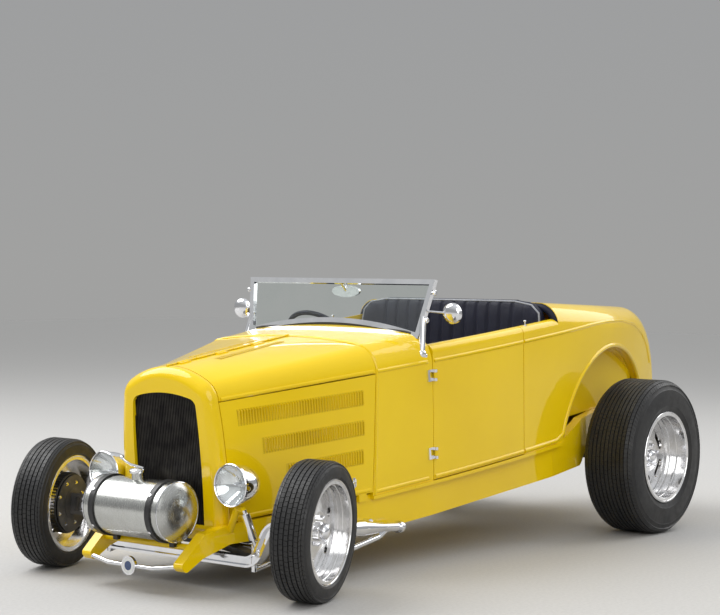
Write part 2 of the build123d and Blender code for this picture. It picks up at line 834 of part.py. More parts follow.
def grille_opening(station, margin=0):
    """The opening in the shell's front, drawn at one station and widened by a margin."""
    top_corner = (grille_half - 8, grille_high - 25)
    with BuildSketch(across(station)) as opening:
        with BuildLine():
            ThreePointArc((grille_half, grille_low), (grille_half + 6, 540), top_corner)
            ThreePointArc(top_corner, (0, grille_high + 3), (-top_corner[0], top_corner[1]))
            ThreePointArc((-top_corner[0], top_corner[1]), (-grille_half - 6, 540), (-grille_half, grille_low))
            Line((-grille_half, grille_low), (grille_half, grille_low))
        make_face()
        fillet(opening.vertices().sort_by(Axis.Y)[2:], radius=grille_corner)
        if margin:
            offset(amount=margin)
    return opening.sketch


with BuildPart() as grille_shell:
    row = hood_sections[0]
    edge_start = shell_front - shell_edge_radius
    extrude(arch_section(row, 0, 0, shell_low, shift=panel_gap), amount=edge_start - shell_gap, dir=body_forward)
    rounded = []
    for turn in (0, 30, 60, 90):
        drawn_in = shell_edge_radius * (1 - cos(radians(turn)))
        station = edge_start + shell_edge_radius * sin(radians(turn))
        rounded.append(arch_section(row, drawn_in, drawn_in, shell_low, shift=station - row[0]))
    loft(rounded)
    inner = arch_section(row, shell_wall, shell_wall, shell_low - 10, shift=panel_gap)
    extrude(inner, amount=shell_plate - shell_gap, dir=body_forward, mode=Mode.SUBTRACT)
    extrude(grille_opening(0), amount=200, dir=body_forward, mode=Mode.SUBTRACT)
    add(frame_rail_left.part, mode=Mode.SUBTRACT)
    add(frame_rail_right.part, mode=Mode.SUBTRACT)
grille_shell.part.label = "grille_shell"
export_step(grille_shell.part, "parts/grille_shell.step")

with BuildPart() as hood_hinge:
    rod(hood_hinge_point(hood_gap - 34), hood_hinge_point(24), pin_radius)
    for near, far in ((24, 8), (hood_gap - 14, hood_gap - 34)):
        top = hood_hinge_point(near)
        bottom = hood_hinge_point(far)
        rod(bottom, top, barrel_radius)
        with Locations(Plane(origin=(top + bottom) / 2 - body_up * 5, x_dir=body_forward, z_dir=(0, 1, 0))):
            Box((top - bottom).length, 10, 6)
    add(cowl.part, mode=Mode.SUBTRACT)
    add(grille_shell.part, mode=Mode.SUBTRACT)
hood_hinge.part.label = "hood_hinge"
export_step(hood_hinge.part, "parts/hood_hinge.step")

# Grille insert: upright bars in the opening, held by a frame behind the shell's front plate
with BuildPart() as grille_insert:
    bar_count = int(grille_half / grille_pitch)
    for number in range(-bar_count, bar_count + 1):
        middle = number * grille_pitch
        block(
            (shell_plate - grille_depth, shell_plate + 9),
            (middle - grille_bar / 2, middle + grille_bar / 2),
            (grille_low - 2, grille_high + 10),
        )
    extrude(grille_opening(0), amount=100, dir=body_forward, mode=Mode.INTERSECT)
    with BuildPart(mode=Mode.PRIVATE) as insert_frame:
        extrude(grille_opening(shell_plate - grille_depth, 8), amount=grille_depth, dir=body_forward)
        extrude(grille_opening(0, -4), amount=100, dir=body_forward, mode=Mode.SUBTRACT)
    add(insert_frame.part)
grille_insert.part.label = "grille_insert"
export_step(grille_insert.part, "parts/grille_insert.step")

# Radiator, engine, gearbox and drive shaft: plain masses under the hood and the floor
with BuildPart() as radiator:
    block((-45, 22), (-212, 212), (262, 850))
radiator.part.label = "radiator"
export_step(radiator.part, "parts/radiator.step")

with BuildPart() as engine_block:
    block((-690, -215), (-190, 190), (140, 640))
    block((-330, -260), (-345, 345), (172, 205))
    add(frame_rail_left.part, mode=Mode.SUBTRACT)
    add(frame_rail_right.part, mode=Mode.SUBTRACT)
engine_block.part.label = "engine_block"
export_step(engine_block.part, "parts/engine_block.step")

gearbox_radius = 78
shaft_radius = 38
with BuildPart() as gearbox:
    with Locations(Plane(origin=spot(-690, 0, tunnel_level), z_dir=-body_forward)):
        Cone(135, gearbox_radius, 40, align=(Align.CENTER, Align.CENTER, Align.MIN))
    rod(spot(-725, 0, tunnel_level), spot(-1300, 0, tunnel_level), gearbox_radius)
    add(frame_crossmembers.part, mode=Mode.SUBTRACT)
gearbox.part.label = "gearbox"
export_step(gearbox.part, "parts/gearbox.step")

# Windshield: a leaning frame with an arched bottom bar on two cast posts
lean = radians(screen_lean)
screen_normal = body_forward * cos(lean) + body_up * sin(lean)
screen_plane = Plane(origin=spot(screen_station, 0, screen_level), x_dir=(0, 1, 0), z_dir=screen_normal)


def screen_outline(margin):
    """The windshield's outline along the middle of its bars, moved out by a margin."""
    with BuildSketch(screen_plane) as outline:
        with BuildLine():
            Polyline(
                (screen_low_half, 0),
                (screen_top_half, screen_height),
                (-screen_top_half, screen_height),
                (-screen_low_half, 0),
            )
            ThreePointArc((-screen_low_half, 0), (0, screen_arch), (screen_low_half, 0))
        make_face()
        offset(amount=margin, kind=Kind.INTERSECTION)
    return outline.sketch


with BuildPart() as windshield_glass:
    extrude(screen_outline(-screen_bar / 2), amount=glass_thickness / 2, both=True)
windshield_glass.part.label = "windshield_glass"
export_step(windshield_glass.part, "parts/windshield_glass.step")

with BuildPart() as windshield_frame:
    extrude(screen_outline(screen_bar / 2), amount=screen_bar / 2, both=True)
    extrude(screen_outline(-screen_bar / 2), amount=screen_bar, both=True, mode=Mode.SUBTRACT)
    for sign in sides.values():
        rod(
            spot(-1082, 542 * sign, 876),
            screen_plane.from_local_coords(Vector(518 * sign, 92, 0)),
            15,
        )
    add(cowl.part, mode=Mode.SUBTRACT)
    add(windshield_glass.part, mode=Mode.SUBTRACT)
windshield_frame.part.label = "windshield_frame"
export_step(windshield_frame.part, "parts/windshield_frame.step")

# Mirrors: one under the top bar and a round one on an arm from each end of the frame
mirror_radius = 48
with BuildPart() as mirrors:
    hang = screen_plane.from_local_coords(Vector(0, screen_height, 0))
    with BuildSketch(Plane(origin=hang - body_forward * 36 - body_up * 52, z_dir=-body_forward, x_dir=(0, 1, 0))):
        Ellipse(83, 29)
    extrude(amount=12)
    rod(hang - body_forward * 4 - body_up * 8, hang - body_forward * 42 - body_up * 52, 5)
    for sign in sides.values():
        seat = screen_plane.from_local_coords(Vector(sign * screen_top_half * 0.975, 118, 0))
        outer = spot(-1200, 640 * sign, 1043)
        rod(seat, outer, 5)
        with Locations(Plane(origin=outer, z_dir=-body_forward)):
            Cylinder(mirror_radius, 14)
    add(windshield_frame.part, mode=Mode.SUBTRACT)
mirrors.part.label = "mirrors"
export_step(mirrors.part, "parts/mirrors.step")

# Bench seat: a cushion and a back that fills the cockpit to its rim
with BuildPart() as seat_base:
    block((-2060, -1560), (-seat_half, seat_half), (body_low, cushion_top))
    fillet(seat_base.edges().filter_by(Axis.Y).sort_by(Axis.Z)[-2:], radius=40)
seat_base.part.label = "seat_base"
export_step(seat_base.part, "parts/seat_base.step")

with BuildPart() as seat_back:
    with BuildSketch(along()):
        with BuildLine():
            Polyline(
                (-1960, body_low),
                (-2080, seat_top),
                (cockpit_rear + 1, seat_top),
                (cockpit_rear + 1, body_low),
                close=True,
            )
        make_face()
    extrude(amount=800, both=True)
    with BuildSketch(across(-1900)) as back_outline:
        with BuildLine():
            FilletPolyline(
                (545, body_low),
                (576, 900),
                (560, 960),
                (420, seat_top),
                (-420, seat_top),
                (-560, 960),
                (-576, 900),
                (-545, body_low),
                radius=60,
            )
            Line((-545, body_low), (545, body_low))
        make_face()
    extrude(amount=-400, mode=Mode.INTERSECT)
    add(seat_base.part, mode=Mode.SUBTRACT)
    add(frame_crossmembers.part, mode=Mode.SUBTRACT)
seat_back.part.label = "seat_back"
export_step(seat_back.part, "parts/seat_back.step")

# Steering column with the shaft the wheel turns on, and the wheel with its rim, spokes and bored hub
column_foot = spot(-790, wheel_y, 440)
column_head = spot(-1390, wheel_y, 862)
column_run = (column_head - column_foot).normalized()
shaft_end = column_head + column_run * 30
wheel_bore = 12 + running_fit
with BuildPart() as steering_column:
    rod(column_foot, column_head - column_run * 12, column_radius)
    rod(column_foot, shaft_end, 12)
    block((dash_station - 22, dash_station), (wheel_y - 24, wheel_y + 24), (dash_low - 45, dash_low))
    add(cowl.part, mode=Mode.SUBTRACT)
steering_column.part.label = "steering_column"
export_step(steering_column.part, "parts/steering_column.step")

wheel_plane = Plane(origin=column_head, x_dir=(0, 1, 0), z_dir=column_run)
with BuildPart() as steering_wheel:
    with Locations(wheel_plane):
        Torus(steering_wheel_radius, steering_rim)
        Cylinder(34, 22)
    for turn in (90, 210, 330):
        tip = wheel_plane.from_local_coords(
            Vector(steering_wheel_radius * cos(radians(turn)), steering_wheel_radius * sin(radians(turn)), 0)
        )
        rod(column_head, tip, 7)
    with Locations(wheel_plane):
        Cylinder(wheel_bore, 400, mode=Mode.SUBTRACT)
steering_wheel.part.label = "steering_wheel"
export_step(steering_wheel.part, "parts/steering_wheel.step")

# Pedals on the firewall and the gear lever on the tunnel
with BuildPart() as driver_controls:
    for y in (-400, -220, -160):
        block((-900, -890), (y - 24, y + 24), (330, 400))
        rod(spot(-895, y, 380), spot(-760, y, 470), 7)
    rod(spot(-1230, 0, tunnel_level + tunnel_radius + 0.3), spot(-1300, 0, 620), 8)
    with Locations(Location(spot(-1300, 0, 620))):
        Sphere(24)
    add(cowl.part, mode=Mode.SUBTRACT)
    add(floor.part, mode=Mode.SUBTRACT)
driver_controls.part.label = "driver_controls"
export_step(driver_controls.part, "parts/driver_controls.step")

# Barrel tank between the front horns, on two straps that stand on the round crossbar
tank_centre = spot(tank_u, 0, tank_w)
tank_plane = Plane(origin=tank_centre, x_dir=(0, 1, 0), z_dir=(1, 0, 0))
with BuildPart() as barrel_tank:
    with BuildSketch(tank_plane):
        with BuildLine():
            Polyline(
                (-tank_half - tank_dome, 0),
                (tank_half + tank_dome, 0),
            )
            TangentArc((tank_half + tank_dome, 0), (tank_half, tank_radius), tangent=(0, 1))
            Line((tank_half, tank_radius), (-tank_half, tank_radius))
            TangentArc((-tank_half - tank_dome, 0), (-tank_half, tank_radius), tangent=(0, 1))
        make_face()
    revolve(axis=Axis(tank_centre, (0, 1, 0)))
    rod(tank_centre + body_up * (tank_radius - 5), tank_centre + body_up * (tank_radius + 26), 26)
barrel_tank.part.label = "barrel_tank"
export_step(barrel_tank.part, "parts/barrel_tank.step")

with BuildPart() as tank_bracket:
    for y in (-165, 165):
        rod(
            tank_centre + Vector(0, y - strap_width / 2, 0),
            tank_centre + Vector(0, y + strap_width / 2, 0),
            tank_radius + strap_thickness,
        )
        block((190, 236), (y - strap_width / 2, y + strap_width / 2), (222, 266))
    add(barrel_tank.part, mode=Mode.SUBTRACT)
    add(frame_crossmembers.part, mode=Mode.SUBTRACT)
tank_bracket.part.label = "tank_bracket"
export_step(tank_bracket.part, "parts/tank_bracket.step")

# Headlights: deep round bowls with a rim and a domed lens, on bent stands from the frame's front
with BuildPart() as headlights:
    for sign in sides.values():
        lamp = Vector(front_axle_x + lamp_x, lamp_y * sign, lamp_z)
        with BuildSketch(Plane(origin=lamp, x_dir=(1, 0, 0), z_dir=(0, -1, 0))):
            with BuildLine():
                TangentArc((8, 0), (0, lamp_radius - 8), tangent=(0, 1))
                Polyline(
                    (0, lamp_radius - 8),
                    (0, lamp_radius),
                    (-14, lamp_radius),
                    (-14, lamp_radius - 4),
                )
                Bezier((-14, lamp_radius - 4), (-70, lamp_radius - 6), (-lamp_depth, 60), (-lamp_depth, 0))
                Line((-lamp_depth, 0), (8, 0))
            make_face()
        revolve(axis=Axis(lamp, (1, 0, 0)))
headlights.part.label = "headlights"
export_step(headlights.part, "parts/headlights.step")

stand_points = [(20, 300, 262), (46, 372, 366), (40, 366, 410)]
shock_top = (57, 420, 367)
with BuildPart() as headlight_stands:
    for sign in sides.values():
        corners = [spot(u, y * sign, w) for u, y, w in stand_points]
        rod(corners[0], corners[1], 15)
        rod(corners[1], corners[2], 15)
        rod(corners[1], spot(shock_top[0], shock_top[1] * sign, shock_top[2]), 12)
        with Locations(Location(corners[1])):
            Sphere(15)
    add(frame_rail_left.part, mode=Mode.SUBTRACT)
    add(frame_rail_right.part, mode=Mode.SUBTRACT)
    add(headlights.part, mode=Mode.SUBTRACT)
headlight_stands.part.label = "headlight_stands"
export_step(headlight_stands.part, "parts/headlight_stands.step")

# Front axle: a dropped beam with a bored boss at each end. The kingpins lean back by the caster, and the
# steered wheels lean with them, so the wheel centre's height follows from the tyre's tread edge.
wheel_out = 125
turn_in = radians(steer_angle)
back = radians(caster)
axle_x = front_axle_x + wheel_out * sin(turn_in) * cos(back)
pin_up = Vector(-sin(back), 0, cos(back))
wheel_drop = sin(turn_in) * sin(back)
front_wheel_z = front_tyre_radius * (1 - wheel_drop**2) ** 0.5 + front_tread / 2 * wheel_drop
spindle = {}
kingpin = {}
knuckle_plane = {}
for side, sign in sides.items():
    spindle[side] = Vector(-sin(turn_in) * cos(back), cos(turn_in), -wheel_drop) * sign
    kingpin[side] = Vector(axle_x, kingpin_y * sign, front_wheel_z + wheel_out * wheel_drop * sign)
    knuckle_plane[side] = Plane(origin=kingpin[side], x_dir=spindle[side], z_dir=pin_up)

beam_bend = kingpin_y - 80
beam_straight = kingpin_y - 160
with BuildPart() as front_axle:
    with BuildLine() as beam_path:
        FilletPolyline(
            (axle_x, kingpin_y - 10, kingpin["left"].Z),
            (axle_x, beam_bend, kingpin["left"].Z),
            (axle_x, beam_straight, axle_level),
            (axle_x, -beam_straight, axle_level),
            (axle_x, -beam_bend, kingpin["right"].Z),
            (axle_x, 10 - kingpin_y, kingpin["right"].Z),
            radius=85,
        )
    with BuildSketch(Plane(origin=beam_path.wire() @ 0, x_dir=(1, 0, 0), z_dir=(0, -1, 0))):
        Rectangle(axle_bar, axle_bar)
        Rectangle(axle_bar, axle_bar - 20, mode=Mode.SUBTRACT)
        Rectangle(16, axle_bar)
    sweep(path=beam_path.wire())
    for side in sides:
        with Locations(knuckle_plane[side]):
            Cylinder(boss_radius, boss_height)
    for side in sides:
        with Locations(knuckle_plane[side]):
            Cylinder(kingpin_radius + running_fit, 200, mode=Mode.SUBTRACT)
front_axle.part.label = "front_axle"
export_step(front_axle.part, "parts/front_axle.step")

# Knuckles: two ears on a kingpin, the brake's backing plate, the spindle and the steering arm's stud
ear_low = boss_height / 2 + ear_gap
ear_high = ear_low + ear_thickness
web_near = boss_radius + 6
web_far = 50
plate_near = 52
plate_far = 58
spindle_end = wheel_out + 25
arm_level = -92
knuckles = {}
for side, sign in sides.items():
    plane = knuckle_plane[side]
    arm = arm_reach * sign
    with BuildPart() as knuckle:
        with Locations(plane):
            for level_now in (-(ear_low + ear_high) / 2, (ear_low + ear_high) / 2):
                with Locations((0, 0, level_now)):
                    Cylinder(boss_radius, ear_thickness)
                with Locations((web_far / 2, 0, level_now)):
                    Box(web_far, 2 * boss_radius, ear_thickness)
            with Locations(((web_near + web_far) / 2, 0, 0)):
                Box(web_far - web_near, 2 * boss_radius, 2 * ear_high)
            Cylinder(kingpin_radius, 2 * ear_high)
            with Locations(((web_far + plate_far) / 2, 0, 0)):
                Cylinder(70, plate_far - web_far, rotation=(0, 90, 0))
            with Locations(((plate_near + plate_far) / 2, 0, 0)):
                Cylinder(drum_radius, plate_far - plate_near, rotation=(0, 90, 0))
            with Locations(((web_far + spindle_end) / 2, 0, 0)):
                Cylinder(spindle_radius, spindle_end - web_far, rotation=(0, 90, 0))
            with Locations((0, arm, arm_level + 8)):
                Cylinder(17, 16)
            with Locations((0, arm, arm_level - 13)):
                Cylinder(stud_radius, 30)
        rod(
            plane.from_local_coords(Vector(0, boss_radius * 0.9 * sign, -ear_high + 2)),
            plane.from_local_coords(Vector(0, arm, arm_level + 8)),
            11,
        )
    knuckle.part.label = "knuckle_" + side
    export_step(knuckle.part, "parts/knuckle_" + side + ".step")
    knuckles[side] = knuckle

# Tie rod: a round bar with an eye at each end on the studs of the two arms
eye_height = 20
eye_level = arm_level - 2 - eye_height / 2
eye = {
    side: knuckle_plane[side].from_local_coords(Vector(0, arm_reach * sign, eye_level))
    for side, sign in sides.items()
}
with BuildPart() as tie_rod:
    rod(eye["right"], eye["left"], tie_rod_radius)
    for side in sides:
        with Locations(Plane(origin=eye[side], x_dir=(0, 1, 0), z_dir=pin_up)):
            Cylinder(17, eye_height)
    for side in sides:
        with Locations(Plane(origin=eye[side], x_dir=(0, 1, 0), z_dir=pin_up)):
            Cylinder(stud_radius + running_fit, 60, mode=Mode.SUBTRACT)
tie_rod.part.label = "tie_rod"
export_step(tie_rod.part, "parts/tie_rod.step")

# Front spring: a transverse arch behind the axle, under the front crossmember
with BuildPart() as front_spring:
    with BuildSketch(across(-50)):
        with BuildLine():
            ThreePointArc((-410, 158), (0, 205), (410, 158))
            Line((410, 158), (410, 134))
            ThreePointArc((410, 134), (0, 178), (-410, 134))
            Line((-410, 134), (-410, 158))
        make_face()
    extrude(amount=44)
    for y in (-398, 398):
        block((-50, 20), (y - 12, y + 12), (134, 158))
    add(front_axle.part, mode=Mode.SUBTRACT)
    add(frame_crossmembers.part, mode=Mode.SUBTRACT)
front_spring.part.label = "front_spring"
export_step(front_spring.part, "parts/front_spring.step")

# Radius rods: a hairpin on each side from the axle back to the frame
rod_y = 425
with BuildPart() as radius_rods:
    for sign in sides.values():
        hinge_spot = spot(-700, 474 * sign, 158)
        rod((axle_x, rod_y * sign, 96), (axle_x, rod_y * sign, 210), 12)
        for z in (102, 204):
            rod((axle_x, rod_y * sign, z), hinge_spot, 11)
        rod(hinge_spot - Vector(0, 30 * sign, 0), hinge_spot + Vector(0, 16 * sign, 0), 18)
    add(front_axle.part, mode=Mode.SUBTRACT)
    add(frame_rail_left.part, mode=Mode.SUBTRACT)
    add(frame_rail_right.part, mode=Mode.SUBTRACT)
radius_rods.part.label = "radius_rods"
export_step(radius_rods.part, "parts/radius_rods.step")

# Rear axle: a live axle with its differential, brake plates and a spindle for each hub
rear_wheel_y = rear_track / 2
rear_spindle = 25
rear_plate_y = rear_wheel_y - 130
with BuildPart() as rear_axle_unit:
    middle = Vector(rear_axle_x, 0, rear_tyre_radius)
    rod(middle - Vector(0, rear_plate_y, 0), middle + Vector(0, rear_plate_y, 0), rear_axle_radius)
    with Locations(Location(middle)):
        Sphere(differential_radius)
    rod(middle + Vector(60, 0, 0), middle + body_forward * 165 + Vector(0, 0, 0), 55)
    for sign in sides.values():
        rod(middle + Vector(0, (rear_plate_y - 8) * sign, 0), middle + Vector(0, rear_plate_y * sign, 0), drum_radius + 10)
        rod(middle, middle + Vector(0, (rear_wheel_y + 15) * sign, 0), rear_spindle)
rear_axle_unit.part.label = "rear_axle"
export_step(rear_axle_unit.part, "parts/rear_axle.step")

with BuildPart() as drive_shaft:
    rod(spot(-1295, 0, tunnel_level), middle + body_forward * 150, shaft_radius)
    add(gearbox.part, mode=Mode.SUBTRACT)
    add(rear_axle_unit.part, mode=Mode.SUBTRACT)
    add(frame_crossmembers.part, mode=Mode.SUBTRACT)
drive_shaft.part.label = "drive_shaft"
export_step(drive_shaft.part, "parts/drive_shaft.step")

# Shock absorbers: from each headlight stand to the front axle and from the rear crossmember to the axle
with BuildPart() as shock_absorbers:
    for sign in sides.values():
        top = spot(shock_top[0], shock_top[1] * sign, shock_top[2])
        foot = Vector(axle_x, 452 * sign, 160)
        rod(top, foot, 10)
        rod(top + (foot - top) * 0.08, top + (foot - top) * 0.62, 19)
        top = spot(-2900, 528 * sign, 300)
        foot = Vector(rear_axle_x, 528 * sign, rear_tyre_radius)
        rod(spot(-2900, 465 * sign, 300), spot(-2900, 540 * sign, 300), 12)
        rod(top, foot, 11)
        rod(top + (foot - top) * 0.16, top + (foot - top) * 0.66, 24)
    add(headlight_stands.part, mode=Mode.SUBTRACT)
    add(front_axle.part, mode=Mode.SUBTRACT)
    add(rear_axle_unit.part, mode=Mode.SUBTRACT)
    add(frame_rail_left.part, mode=Mode.SUBTRACT)
    add(frame_rail_right.part, mode=Mode.SUBTRACT)
shock_absorbers.part.label = "shock_absorbers"
export_step(shock_absorbers.part, "parts/shock_absorbers.step")

# Exhausts: a tapered chamber under each side of the frame with a capped end and a thin branch pipe
pipe_y = 540
chamber_profile = [
    (0, 0),
    (0, 16),
    (22, 31),
    (165, 36),
    (330, 20),
    (430, 20),
    (430, 28),
    (444, 28),
    (444, 24),
    (458, 24),
    (458, 0),
]
with BuildPart() as exhausts:
    for sign in sides.values():
        start = spot(-410, pipe_y * sign, 197)
        run = (spot(-850, pipe_y * sign, 113) - start).normalized()
        ring(Plane(origin=start, z_dir=run, x_dir=(0, 1, 0)), chamber_profile)
        branch = [(-762, pipe_y, 126), (-690, pipe_y, 102), (-480, pipe_y, 92), (-440, 420, 92), (-440, 150, 170)]
        corners = [spot(u, y * sign, w) for u, y, w in branch]
        with BuildLine() as branch_path:
            FilletPolyline(*corners, radius=30)
        with BuildSketch(Plane(origin=branch_path.wire() @ 0, z_dir=branch_path.wire() % 0)):
            Circle(12)
        sweep(path=branch_path.wire())
        rod(spot(-800, 440 * sign, 140), spot(-800, pipe_y * sign, 122), 7)
    add(frame_rail_left.part, mode=Mode.SUBTRACT)
    add(frame_rail_right.part, mode=Mode.SUBTRACT)
    add(radius_rods.part, mode=Mode.SUBTRACT)
    add(engine_block.part, mode=Mode.SUBTRACT)
exhausts.part.label = "exhausts"
export_step(exhausts.part, "parts/exhausts.step")

# Fuel tank between the rear horns, and a round lamp beside it on each side
with BuildPart() as fuel_tank:
    block((-3560, -3400), (-380, 380), (120, 245))
    fillet(fuel_tank.edges().filter_by(Axis.Y), radius=30)
    block((-3440, -3395), (-425, 425), (196, 228))
    add(frame_rail_left.part, mode=Mode.SUBTRACT)
    add(frame_rail_right.part, mode=Mode.SUBTRACT)
    add(frame_crossmembers.part, mode=Mode.SUBTRACT)
fuel_tank.part.label = "fuel_tank"
export_step(fuel_tank.part, "parts/fuel_tank.step")

with BuildPart() as tail_lights:
    for sign in sides.values():
        lamp = spot(-3545, 452 * sign, 300)
        rod(spot(-3500, 430 * sign, 212), lamp, 9)
        rod(lamp + Vector(22, 0, 0), lamp - Vector(24, 0, 0), 32)
    add(frame_rail_left.part, mode=Mode.SUBTRACT)
    add(frame_rail_right.part, mode=Mode.SUBTRACT)
tail_lights.part.label = "tail_lights"
export_step(tail_lights.part, "parts/tail_lights.step")


def tyre_profile(radius, width, rim, tread):
    """The tyre's section: flat tread, two shoulders, two sidewalls and the bead's seat."""
    half = width / 2
    return [
        (half - 22, rim),
        (half, rim + (radius - rim) * 0.42),
        (half - 8, rim + (radius - rim) * 0.86),
        (tread / 2, radius),
        (-tread / 2, radius),
        (8 - half, rim + (radius - rim) * 0.86),
        (-half, rim + (radius - rim) * 0.42),
        (22 - half, rim),
    ]


# Tyres and wheels: a dished disc with round-ended windows, a bored hub and a brake drum inside the rim
wheel_plane_at = {}
for side, sign in sides.items():
    centre = kingpin[side] + spindle[side] * wheel_out
    wheel_plane_at["front_" + side] = Plane(origin=centre, x_dir=pin_up, z_dir=spindle[side])
    centre = Vector(rear_axle_x, rear_wheel_y * sign, rear_tyre_radius)
    wheel_plane_at["rear_" + side] = Plane(origin=centre, x_dir=(0, 0, 1), z_dir=(0, sign, 0))

for place, plane in wheel_plane_at.items():
    if place.startswith("front"):
        radius, width, rim, tread = front_tyre_radius, front_tyre_width, front_rim_radius, front_tread
        dish, bore, hub_back, drum, drum_back = -8, spindle_radius, -60, drum_radius, -60
    else:
        radius, width, rim, tread = rear_tyre_radius, rear_tyre_width, rear_rim_radius, rear_tread
        dish, bore, hub_back, drum, drum_back = 10, rear_spindle, -122, drum_radius + 10, -122
    with BuildPart() as tyre:
        ring(plane, tyre_profile(radius, width, rim, tread))
    tyre.part.label = "tyre_" + place
    export_step(tyre.part, "parts/tyre_" + place + ".step")

    lip = width / 2 - 14
    hub_end = 32
    with BuildPart() as wheel:
        ring(plane, [(-lip, rim), (lip, rim), (lip, rim - rim_wall), (-lip, rim - rim_wall)])
        for edge in (lip, -lip - 5):
            ring(
                plane,
                [
                    (edge, rim - rim_wall),
                    (edge + 5, rim - rim_wall),
                    (edge + 5, rim + rim_flange),
                    (edge, rim + rim_flange),
                ],
            )
        ring(
            plane,
            [
                (dish, rim - rim_wall + 1),
                (dish + 12, rim - rim_wall + 1),
                (dish + 26, 80),
                (dish + 26, 30),
                (dish + 14, 30),
                (dish + 14, 80),
            ],
        )
        with BuildSketch(plane):
            if place.startswith("front"):
                with PolarLocations(window_circle, front_windows, start_angle=20):
                    Circle(front_window_radius)
            else:
                with PolarLocations(window_circle - 6, rear_windows, start_angle=90):
                    SlotOverall(*rear_window, rotation=90)
        extrude(amount=200, both=True, mode=Mode.SUBTRACT)
        ring(plane, [(hub_back, 0), (hub_end + 8, 0), (hub_end + 8, 24), (hub_end, 40), (hub_back, 40)])
        ring(
            plane,
            [
                (drum_back, drum),
                (dish - 6, drum),
                (dish + 16, 60),
                (dish + 16, 36),
                (dish - 18, 36),
                (dish - 18, drum - 12),
                (drum_back, drum - 12),
            ],
        )
        ring(plane, [(hub_back - 10, 0), (hub_end, 0), (hub_end, bore + running_fit), (hub_back - 10, bore + running_fit)], Mode.SUBTRACT)
    wheel.part.label = "wheel_" + place
    export_step(wheel.part, "parts/wheel_" + place + ".step")
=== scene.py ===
import json
import math

import bmesh
import bpy
from mathutils import Matrix, Vector
from mathutils.bvhtree import BVHTree


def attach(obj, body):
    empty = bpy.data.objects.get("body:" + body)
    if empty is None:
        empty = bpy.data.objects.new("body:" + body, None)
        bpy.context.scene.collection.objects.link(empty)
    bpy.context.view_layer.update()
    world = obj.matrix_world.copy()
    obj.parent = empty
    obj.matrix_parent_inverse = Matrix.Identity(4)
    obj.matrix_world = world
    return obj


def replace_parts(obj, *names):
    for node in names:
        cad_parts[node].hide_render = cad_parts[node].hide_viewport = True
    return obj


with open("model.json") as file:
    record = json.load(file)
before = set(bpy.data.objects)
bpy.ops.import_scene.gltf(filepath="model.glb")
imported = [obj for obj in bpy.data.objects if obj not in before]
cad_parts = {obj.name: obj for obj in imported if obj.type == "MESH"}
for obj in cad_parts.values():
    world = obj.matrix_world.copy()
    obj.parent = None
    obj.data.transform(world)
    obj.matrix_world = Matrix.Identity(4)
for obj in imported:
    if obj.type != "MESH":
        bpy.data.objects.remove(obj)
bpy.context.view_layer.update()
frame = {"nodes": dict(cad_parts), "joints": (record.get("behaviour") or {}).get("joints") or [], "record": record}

nodes = frame["nodes"]
joints = {joint["name"]: joint for joint in frame["joints"]}

# Studio: a wide, flat, pale floor under a sky that is grey at the horizon and bright overhead, with three
# large soft lamps for the chrome and the paint to reflect. The camera stands ahead of the car's left front
# wheel, about as high as the windshield's top.
camera_place = Vector((7.1626, 5.2675, 1.3482))
camera_yaw, camera_pitch, camera_roll = (math.radians(v) for v in (217.6577, -1.1433, 0.5763))
camera_lens = 88.71
camera_film = 36
floor_half = 30.0
floor_colour = (0.50, 0.49, 0.475, 1)
floor_worn = tuple(part * 0.9 for part in floor_colour)

heading = Vector((
    math.cos(camera_yaw) * math.cos(camera_pitch),
    math.sin(camera_yaw) * math.cos(camera_pitch),
    math.sin(camera_pitch),
))
level_right = Vector((math.sin(camera_yaw), -math.cos(camera_yaw), 0))
level_up = level_right.cross(heading)
camera_right = level_right * math.cos(camera_roll) + level_up * math.sin(camera_roll)
camera_up = level_up * math.cos(camera_roll) - level_right * math.sin(camera_roll)
camera_data = bpy.data.cameras.new("camera")
camera_data.lens = camera_lens
camera_data.sensor_width = camera_film
camera = bpy.data.objects.new("camera", camera_data)
camera_turn = Matrix((camera_right, camera_up, -heading)).transposed().to_4x4()
camera.matrix_world = Matrix.Translation(camera_place) @ camera_turn
bpy.context.scene.collection.objects.link(camera)
bpy.context.scene.camera = camera


def put_in_scene(name, maker):
    """Makes an object from a bmesh, with its place in its mesh."""
    mesh = bpy.data.meshes.new(name)
    maker.normal_update()
    maker.to_mesh(mesh)
    maker.free()
    piece = bpy.data.objects.new(name, mesh)
    bpy.context.scene.collection.objects.link(piece)
    return piece


class Value:
    """A shader socket. Its operators add Math nodes to the finish that it belongs to."""

    def __init__(self, finish, socket):
        self.finish = finish
        self.socket = socket

    def _math(self, operation, first, second=0.0):
        return self.finish.node("ShaderNodeMath", {"operation": operation}, {0: first, 1: second})

    def __add__(self, other):
        return self._math("ADD", self, other)

    __radd__ = __add__

    def __sub__(self, other):
        return self._math("SUBTRACT", self, other)

    def __rsub__(self, other):
        return self._math("SUBTRACT", other, self)

    def __mul__(self, other):
        return self._math("MULTIPLY", self, other)

    __rmul__ = __mul__

    def __gt__(self, other):
        return self._math("GREATER_THAN", self, other)

    def __lt__(self, other):
        return self._math("LESS_THAN", self, other)

    def sine(self):
        return self._math("SINE", self)

    def absolute(self):
        return self._math("ABSOLUTE", self)


